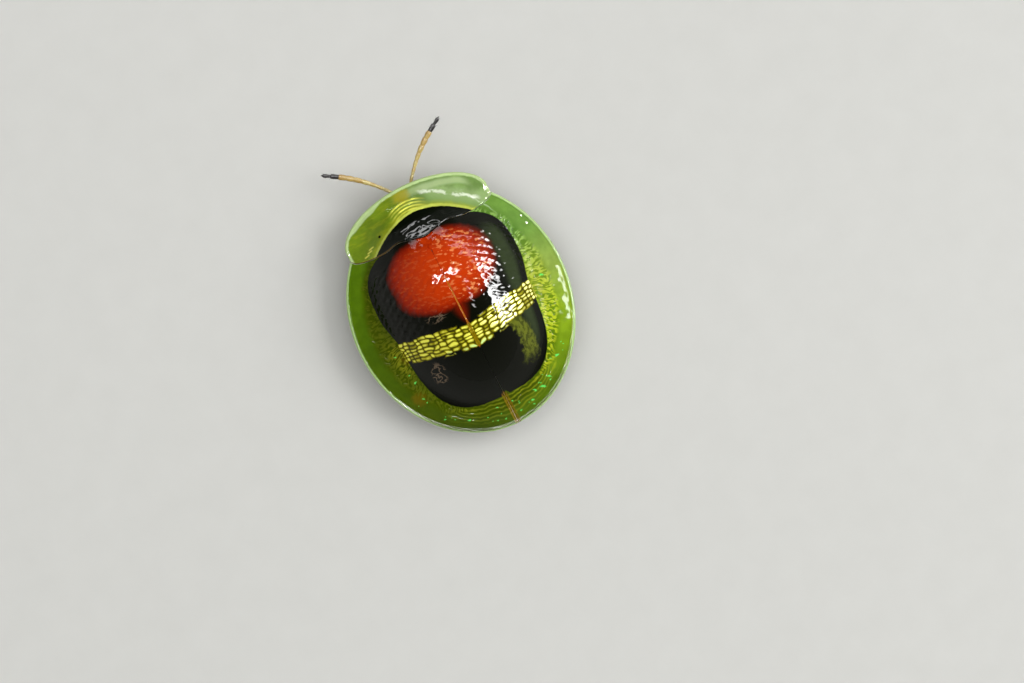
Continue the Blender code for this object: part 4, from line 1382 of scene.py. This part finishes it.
feeler = {
    "socket": (0.27, -3.7, 1.04),
    "base": (0.36, -4.06, 0.93),
    "underRim": (0.34, -4.5, 0.9),
    "tip": (2.22, -6.09, 1.12),
    "bow": 0.1,
    "hidden": 0.16,
    "joints": 11,
    "widths": (0.07, 0.052, 0.054, 0.058, 0.066, 0.078, 0.088, 0.095, 0.096, 0.084, 0.06),
    "black": 0.79,
    "hairs": 26,
    "hair": (0.075, 0.0035),   # length and radius
}
feelerLook = {
    "pale": (0.56, 0.46, 0.15),
    "ochre": (0.44, 0.29, 0.06),
    "brown": (0.42, 0.22, 0.04),
    "tip": (0.012, 0.008, 0.006),
}


def feelerPlace(t):
    base, rim, tip = (np.array(feeler[key]) for key in ("base", "underRim", "tip"))
    if t < feeler["hidden"]:
        return base + (rim - base) * t / feeler["hidden"]
    s = (t - feeler["hidden"]) / (1 - feeler["hidden"])
    bow = feeler["bow"] * math.sin(math.pi * s)
    return rim + (tip - rim) * s - np.array((bow, bow, 0.0))


def makeFeelers(material):
    joints = feeler["joints"]
    for side, name in bothSides:
        random = np.random.default_rng(81 + side)
        shapes, along = [], []
        root = [np.array(feeler["socket"]), np.array((0.33, -3.9, 0.98)), feelerPlace(0.02)]
        shapes.append(limb(root, [(0, 0.07), (0.6, 0.085), (1, 0.07)], rings=20, sides=18))
        along.append(0.0)
        roots, aims = [], []
        for k in range(joints):
            a, b = feelerPlace(k / joints), feelerPlace((k + 1) / joints)
            width = feeler["widths"][k]
            last = k == joints - 1
            before = feeler["widths"][max(k - 1, 0)]
            start, end = a - 0.16 * (b - a), b + (0.25 if last else 0.05) * (b - a)
            blunt, narrow = (3.0, 0.1) if last else (14.0, 0.86)
            profile = [(0, 0.8 * before), (0.3, 0.94 * width), (0.75, width), (1, narrow * width)]
            shapes.append(limb([start, (a + b) / 2, end], profile, rings=20, sides=18, blunt=blunt))
            along.append((k + 0.5) / joints)
            for _ in range(feeler["hairs"]):
                t, turn = random.uniform(0.15, 0.98), random.uniform(0, 2 * math.pi)
                aim = (b - a) / np.linalg.norm(b - a)
                out = np.cross(aim, (0, 0, 1)) * math.cos(turn) + (0, 0, math.sin(turn))
                roots.append(a + (b - a) * t + out * width * 0.9)
                aims.append(out + 1.1 * aim)
        shapes.append(hairs(roots, aims, *feeler["hair"]))
        values = [np.full(len(shape[0]), at) for shape, at in zip(shapes, along)]
        values.append(np.repeat((np.arange(len(roots)) // feeler["hairs"] + 0.5) / joints, 4))
        shapes = [mirror(shape, side) for shape in shapes]
        layers = {"along": np.concatenate(values)}
        nodes = [f"antenna_{name}"]
        makePiece(f"feeler_{name}", shapes, [material], nodes, layers)


def paintFeelers():
    paint = Paint("feelerYellowBlackTip")
    where = paint.where()
    along = paint.layer("along")
    fine, broad = paint.noise(where, 18.0, 3.0), paint.noise(where, 4.0, 2.0)
    share = paint.fade(broad + 0.5 * (fine - 0.5), 0.35, 0.65)
    colour = paint.mix(share, feelerLook["pale"], feelerLook["ochre"])
    tip = paint.fade(along + 0.04 * (fine - 0.5), feeler["black"] - 0.02, feeler["black"] + 0.02)
    colour = paint.over(colour, feelerLook, brown=paint.fade(along, 0.45, 0.74, 0.0, 0.5), tip=tip)
    return paint.set(
        BaseColor=colour,
        Roughness=0.4 + 0.2 * fine,
        Normal=paint.bump(fine, 0.008),
        CoatWeight=0.1,
        CoatRoughness=0.2,
        SpecularIORLevel=0.2,
    )


# The legs


legs = {
    "front": ((0.52, -2.2, 0.96), (1.5, -2.62, 0.8), (1.98, -3.02, 0.33), (2.2, -3.5, 0.0)),
    "middle": ((0.74, -0.9, 0.96), (1.98, -1.02, 0.8), (2.58, -0.76, 0.33), (3.04, -0.5, 0.0)),
    "hind": ((0.8, 0.28, 0.96), (1.76, 1.34, 0.8), (2.04, 2.08, 0.33), (2.22, 2.6, 0.0)),
}
legShape = {
    "coxa": (0.23, 0.23, 0.34),
    "knee": (0.145, 0.145, 0.13),
    # radius by share of the length
    "ring": [(0, 0.13), (0.5, 0.17), (1, 0.14)],
    "thigh": [(0, 0.13), (0.25, 0.2), (0.55, 0.23), (0.85, 0.17), (1, 0.14)],
    "shin": [(0, 0.11), (0.15, 0.12), (0.6, 0.14), (0.9, 0.185), (1, 0.15)],
    "first": [(0, 0.09), (0.6, 0.12), (1, 0.11)],
    "second": [(0, 0.09), (0.6, 0.145), (1, 0.11)],
    "lobe": [(0, 0.08), (0.55, 0.105), (1, 0.07)],
    "last": [(0, 0.05), (0.7, 0.062), (1, 0.058)],
    "claw": [(0, 0.045), (0.5, 0.036), (1, 0.012)],
    "hairs": 34,
    "hair": (0.09, 0.0042),    # length and radius
}


def makeLeg(name, points, side, amber, dark):
    coxa, knee, ankle, toe = (np.array(point) for point in points)
    random = np.random.default_rng(len(name) * 7 + (side > 0))
    shapes, slots = [], []

    def add(shape, slot=0):
        shapes.append(mirror(shape, side))
        slots.append(slot)

    add(globe(coxa + (0, 0, 0.16), legShape["coxa"], rings=22, sides=28))
    hip = coxa + 0.13 * (knee - coxa) + (0, 0, -0.02)
    ring = [coxa, (coxa + hip) / 2 + (0, 0, -0.03), hip + 0.1 * (knee - coxa)]
    add(limb(ring, legShape["ring"], rings=16))
    thighMiddle = (hip + knee) / 2 + (0, 0, 0.03)
    add(limb([hip, thighMiddle, knee], legShape["thigh"], deep=0.82, rings=34, sides=22))
    add(globe(knee, legShape["knee"], rings=16, sides=20))
    shinMiddle = (knee + ankle) / 2 + 0.05 * np.array((ankle[1] - knee[1], knee[0] - ankle[0], 0.6))
    add(limb([knee, shinMiddle, ankle], legShape["shin"], deep=0.86, rings=34, sides=20))
    heading = toe - ankle
    heading[2] = 0.0
    length = np.linalg.norm(heading)
    heading /= length
    outward = np.array((-heading[1], heading[0], 0.0))

    def foot(share, up):
        return np.array((ankle[0], ankle[1], 0.0)) + heading * length * share + np.array((0, 0, up))

    first = [ankle - (0, 0, 0.04), foot(0.1, 0.2), foot(0.3, 0.125)]
    add(limb(first, legShape["first"], deep=0.85, rings=16))
    second = [foot(0.2, 0.13), foot(0.36, 0.11), foot(0.56, 0.1)]
    add(limb(second, legShape["second"], deep=0.62, rings=18))
    for way in (1, -1):
        out = way * outward
        lobe = [foot(0.46, 0.1), foot(0.66, 0.085) + 0.07 * out, foot(0.9, 0.075) + 0.11 * out]
        add(limb(lobe, legShape["lobe"], deep=0.7, rings=18))
    add(limb([foot(0.55, 0.15), foot(0.85, 0.15), foot(1.08, 0.13)], legShape["last"], rings=18))
    for way in (1, -1):
        spread = heading + way * 0.55 * outward
        claw = [foot(1.03, 0.13), foot(1.03, 0.12) + 0.1 * spread, foot(1.03, 0.02) + 0.19 * spread]
        add(limb(claw, legShape["claw"], rings=16, sides=12), 1)
    roots, aims = [], []
    haired = ((hip, knee, 0.18), (knee, ankle, 0.14), (ankle, foot(0.9, 0.1), 0.12))
    for start, end, width in haired:
        aim = (end - start) / np.linalg.norm(end - start)
        across = np.cross(aim, (0, 0, 1))
        across /= np.linalg.norm(across)
        top = np.cross(across, aim)
        for _ in range(legShape["hairs"]):
            t, turn = random.uniform(0.2, 0.95), random.uniform(0, 2 * math.pi)
            out = across * math.cos(turn) + top * math.sin(turn) * 0.85
            roots.append(start + (end - start) * t + out * width * 0.85)
            aims.append(out * 0.8 + 1.2 * aim)
    roots, aims = np.array(roots), np.array(aims)
    # hairs that would reach the floor are left out
    clear = roots[:, 2] + legShape["hair"][0] * aims[:, 2] > 0.03
    add(hairs(roots[clear], aims[clear], *legShape["hair"]))
    materials, nodes = [amber, dark], [f"leg_{name}"]
    piece = makePiece(f"walkingLeg_{name}", shapes, materials, nodes, slots=slots)
    lowest = min(vertex.co.z for vertex in piece.data.vertices)
    piece.data.transform(Matrix.Translation((0, 0, -min(lowest, 0.0))))


def makeLegs(amber, dark):
    for side, name in bothSides:
        for place, points in legs.items():
            makeLeg(f"{place}_{name}", points, side, amber, dark)


# Floor, light and camera


floor = {"half": 0.45, "dark": (0.56, 0.56, 0.535), "light": (0.63, 0.63, 0.605)}


def paintFloor():
    paint = Paint("paleFloor")
    where = paint.node("ShaderNodeTexCoord", output="Object")
    grain, broad = paint.noise(where, 900.0, 4.0), paint.noise(where, 30.0, 2.0)
    colour = paint.mix(0.5 * grain + 0.5 * broad, floor["dark"], floor["light"])
    return paint.set(BaseColor=colour, Roughness=0.7 + 0.1 * grain, SpecularIORLevel=0.0)


def makeFloor():
    mesh = bpy.data.meshes.new("floor")
    half = floor["half"]
    corners = [(-half, -half, 0), (half, -half, 0), (half, half, 0), (-half, half, 0)]
    mesh.from_pydata(corners, [], [(0, 1, 2, 3)])
    mesh.materials.append(paintFloor())
    show("floor", mesh)


lamps = {
    # turn from the beetle's right toward its rear, height, width and tallness in degrees,
    # brightness, and the kind of light it gives
    "softBox": (0, 90, 75, 75, 1.35, "diffuse"),
    "sideKey": (14, 42, 40, 30, 5.0, "diffuse"),
    "sideWindow": (14, 19.5, 21, 15, 105.0, "glossy"),
    "sideWindowFront": (-2, 21, 11, 8, 105.0, "glossy"),
    "sideWindowLow": (0, 8, 30, 7, 55.0, "glossy"),
    "frontWindow": (-88, 21.5, 62, 10, 27.0, "glossy"),
    "cornerWindow": (-36, 20, 38, 10, 14.0, "glossy"),
    "rimStrip": (13, 59, 11, 5, 40.0, "glossy"),
}
lampDistance = 0.3
ceilingLamp = {
    "place": (-0.01, -0.076, 0.3),
    "size": (0.32, 0.03),
    "brightness": 130.0,
    "role": "glossy",
}
sky = {
    # from the floor up, with a small bright patch straight overhead
    "stops": (
        (0.0, (0.72, 0.72, 0.6984)), (1.0, (0.03, 0.03, 0.0291)), (1.0, (1.0, 1.0, 1.0)),
    ),
    "strength": 0.75,
}


def addLamp(name, place, size, brightness, role):
    # a flat lamp that faces the beetle, its width level
    light = bpy.data.lights.new(name, "AREA")
    light.shape = "RECTANGLE"
    light.size, light.size_y = size
    light.energy = brightness * math.pi * size[0] * size[1]
    lamp = show(name, light)
    back = Vector(place).normalized()
    upright = Vector((0.0, 1.0, 0.0) if back.z > 0.9 else (0.0, 0.0, 1.0))
    across = upright.cross(back)
    across.normalize()
    turn = Matrix((across, back.cross(across), back)).transposed().to_4x4()
    lamp.matrix_world = Matrix.Translation(place) @ turn
    lamp.visible_camera = False
    lamp.visible_diffuse = role != "glossy"
    lamp.visible_glossy = role != "diffuse"


def makeLight():
    for name, (turn, height, wide, tall, brightness, role) in lamps.items():
        turn, height = math.radians(turn), math.radians(height)
        flat = math.cos(height)
        aim = Vector((-flat * math.cos(turn), flat * math.sin(turn), math.sin(height)))
        size = [2 * lampDistance * math.tan(math.radians(angle) / 2) for angle in (wide, tall)]
        addLamp(name, lampDistance * aim, size, brightness, role)
    addLamp("ceilingLamp", **ceilingLamp)
    world = bpy.data.worlds.new("studio")
    world.use_nodes = True
    tree = world.node_tree
    where = tree.nodes.new("ShaderNodeTexCoord")
    split = tree.nodes.new("ShaderNodeSeparateXYZ")
    ramp = tree.nodes.new("ShaderNodeValToRGB")
    tree.links.new(where.outputs["Generated"], split.inputs[0])
    tree.links.new(split.outputs[2], ramp.inputs[0])
    setStops(ramp.color_ramp, sky["stops"])
    background = tree.nodes["Background"]
    tree.links.new(ramp.outputs["Color"], background.inputs["Color"])
    background.inputs["Strength"].default_value = sky["strength"]
    bpy.context.scene.world = world


camera = {
    "perPixel": 0.03422 * mm,          # of the floor plan, in the photograph
    "bodyMiddle": (460.0, 305.5),      # where the body's middle shows
    "pictureSize": (1024, 683),
    "headward": (-0.4487, -0.8937),    # the picture's upward direction, on the floor
    "planeHeight": 1.3 * mm,
    "distance": 0.12,
}


def makeCamera():
    width, height = camera["pictureSize"]
    up = Vector((*camera["headward"], 0.0)).normalized()
    back = Vector((0.0, 0.0, 1.0))
    right = up.cross(back)
    step = camera["perPixel"]
    acrossPixels = camera["bodyMiddle"][0] - width / 2
    downPixels = camera["bodyMiddle"][1] - height / 2
    middle = Vector((0.0, originShift * mm, camera["planeHeight"]))
    aim = middle - right * acrossPixels * step + up * downPixels * step
    data = bpy.data.cameras.new("camera")
    data.sensor_width = 36.0
    data.lens = data.sensor_width * camera["distance"] / (width * step)
    data.clip_start = 0.01
    data.clip_end = 5.0
    eye = show("camera", data)
    turn = Matrix((right, up, back)).transposed().to_4x4()
    eye.matrix_world = Matrix.Translation(aim + back * camera["distance"]) @ turn
    bpy.context.scene.camera = eye


def main():
    makeCamera()
    makeFloor()
    makeLight()
    print("floor, light and camera are up")
    makeElytra(paintElytra())
    makeScutellum(paintScutellum())
    makePronotum(paintPronotum())
    print("the shell is made")
    makeTrunk(paintTrunk())
    headAmber, legAmber, dark = paintAmber("headAmber"), paintAmber("legAmber"), paintDark()
    makeHead(headAmber, dark)
    makeEyes(paintEyes())
    makeFeelers(paintFeelers())
    print("body, head and feelers are made")
    makeLegs(legAmber, dark)
    print("legs are made")
    scene = bpy.context.scene
    scene.view_settings.view_transform = "Standard"
    scene.view_settings.look = "None"


main()
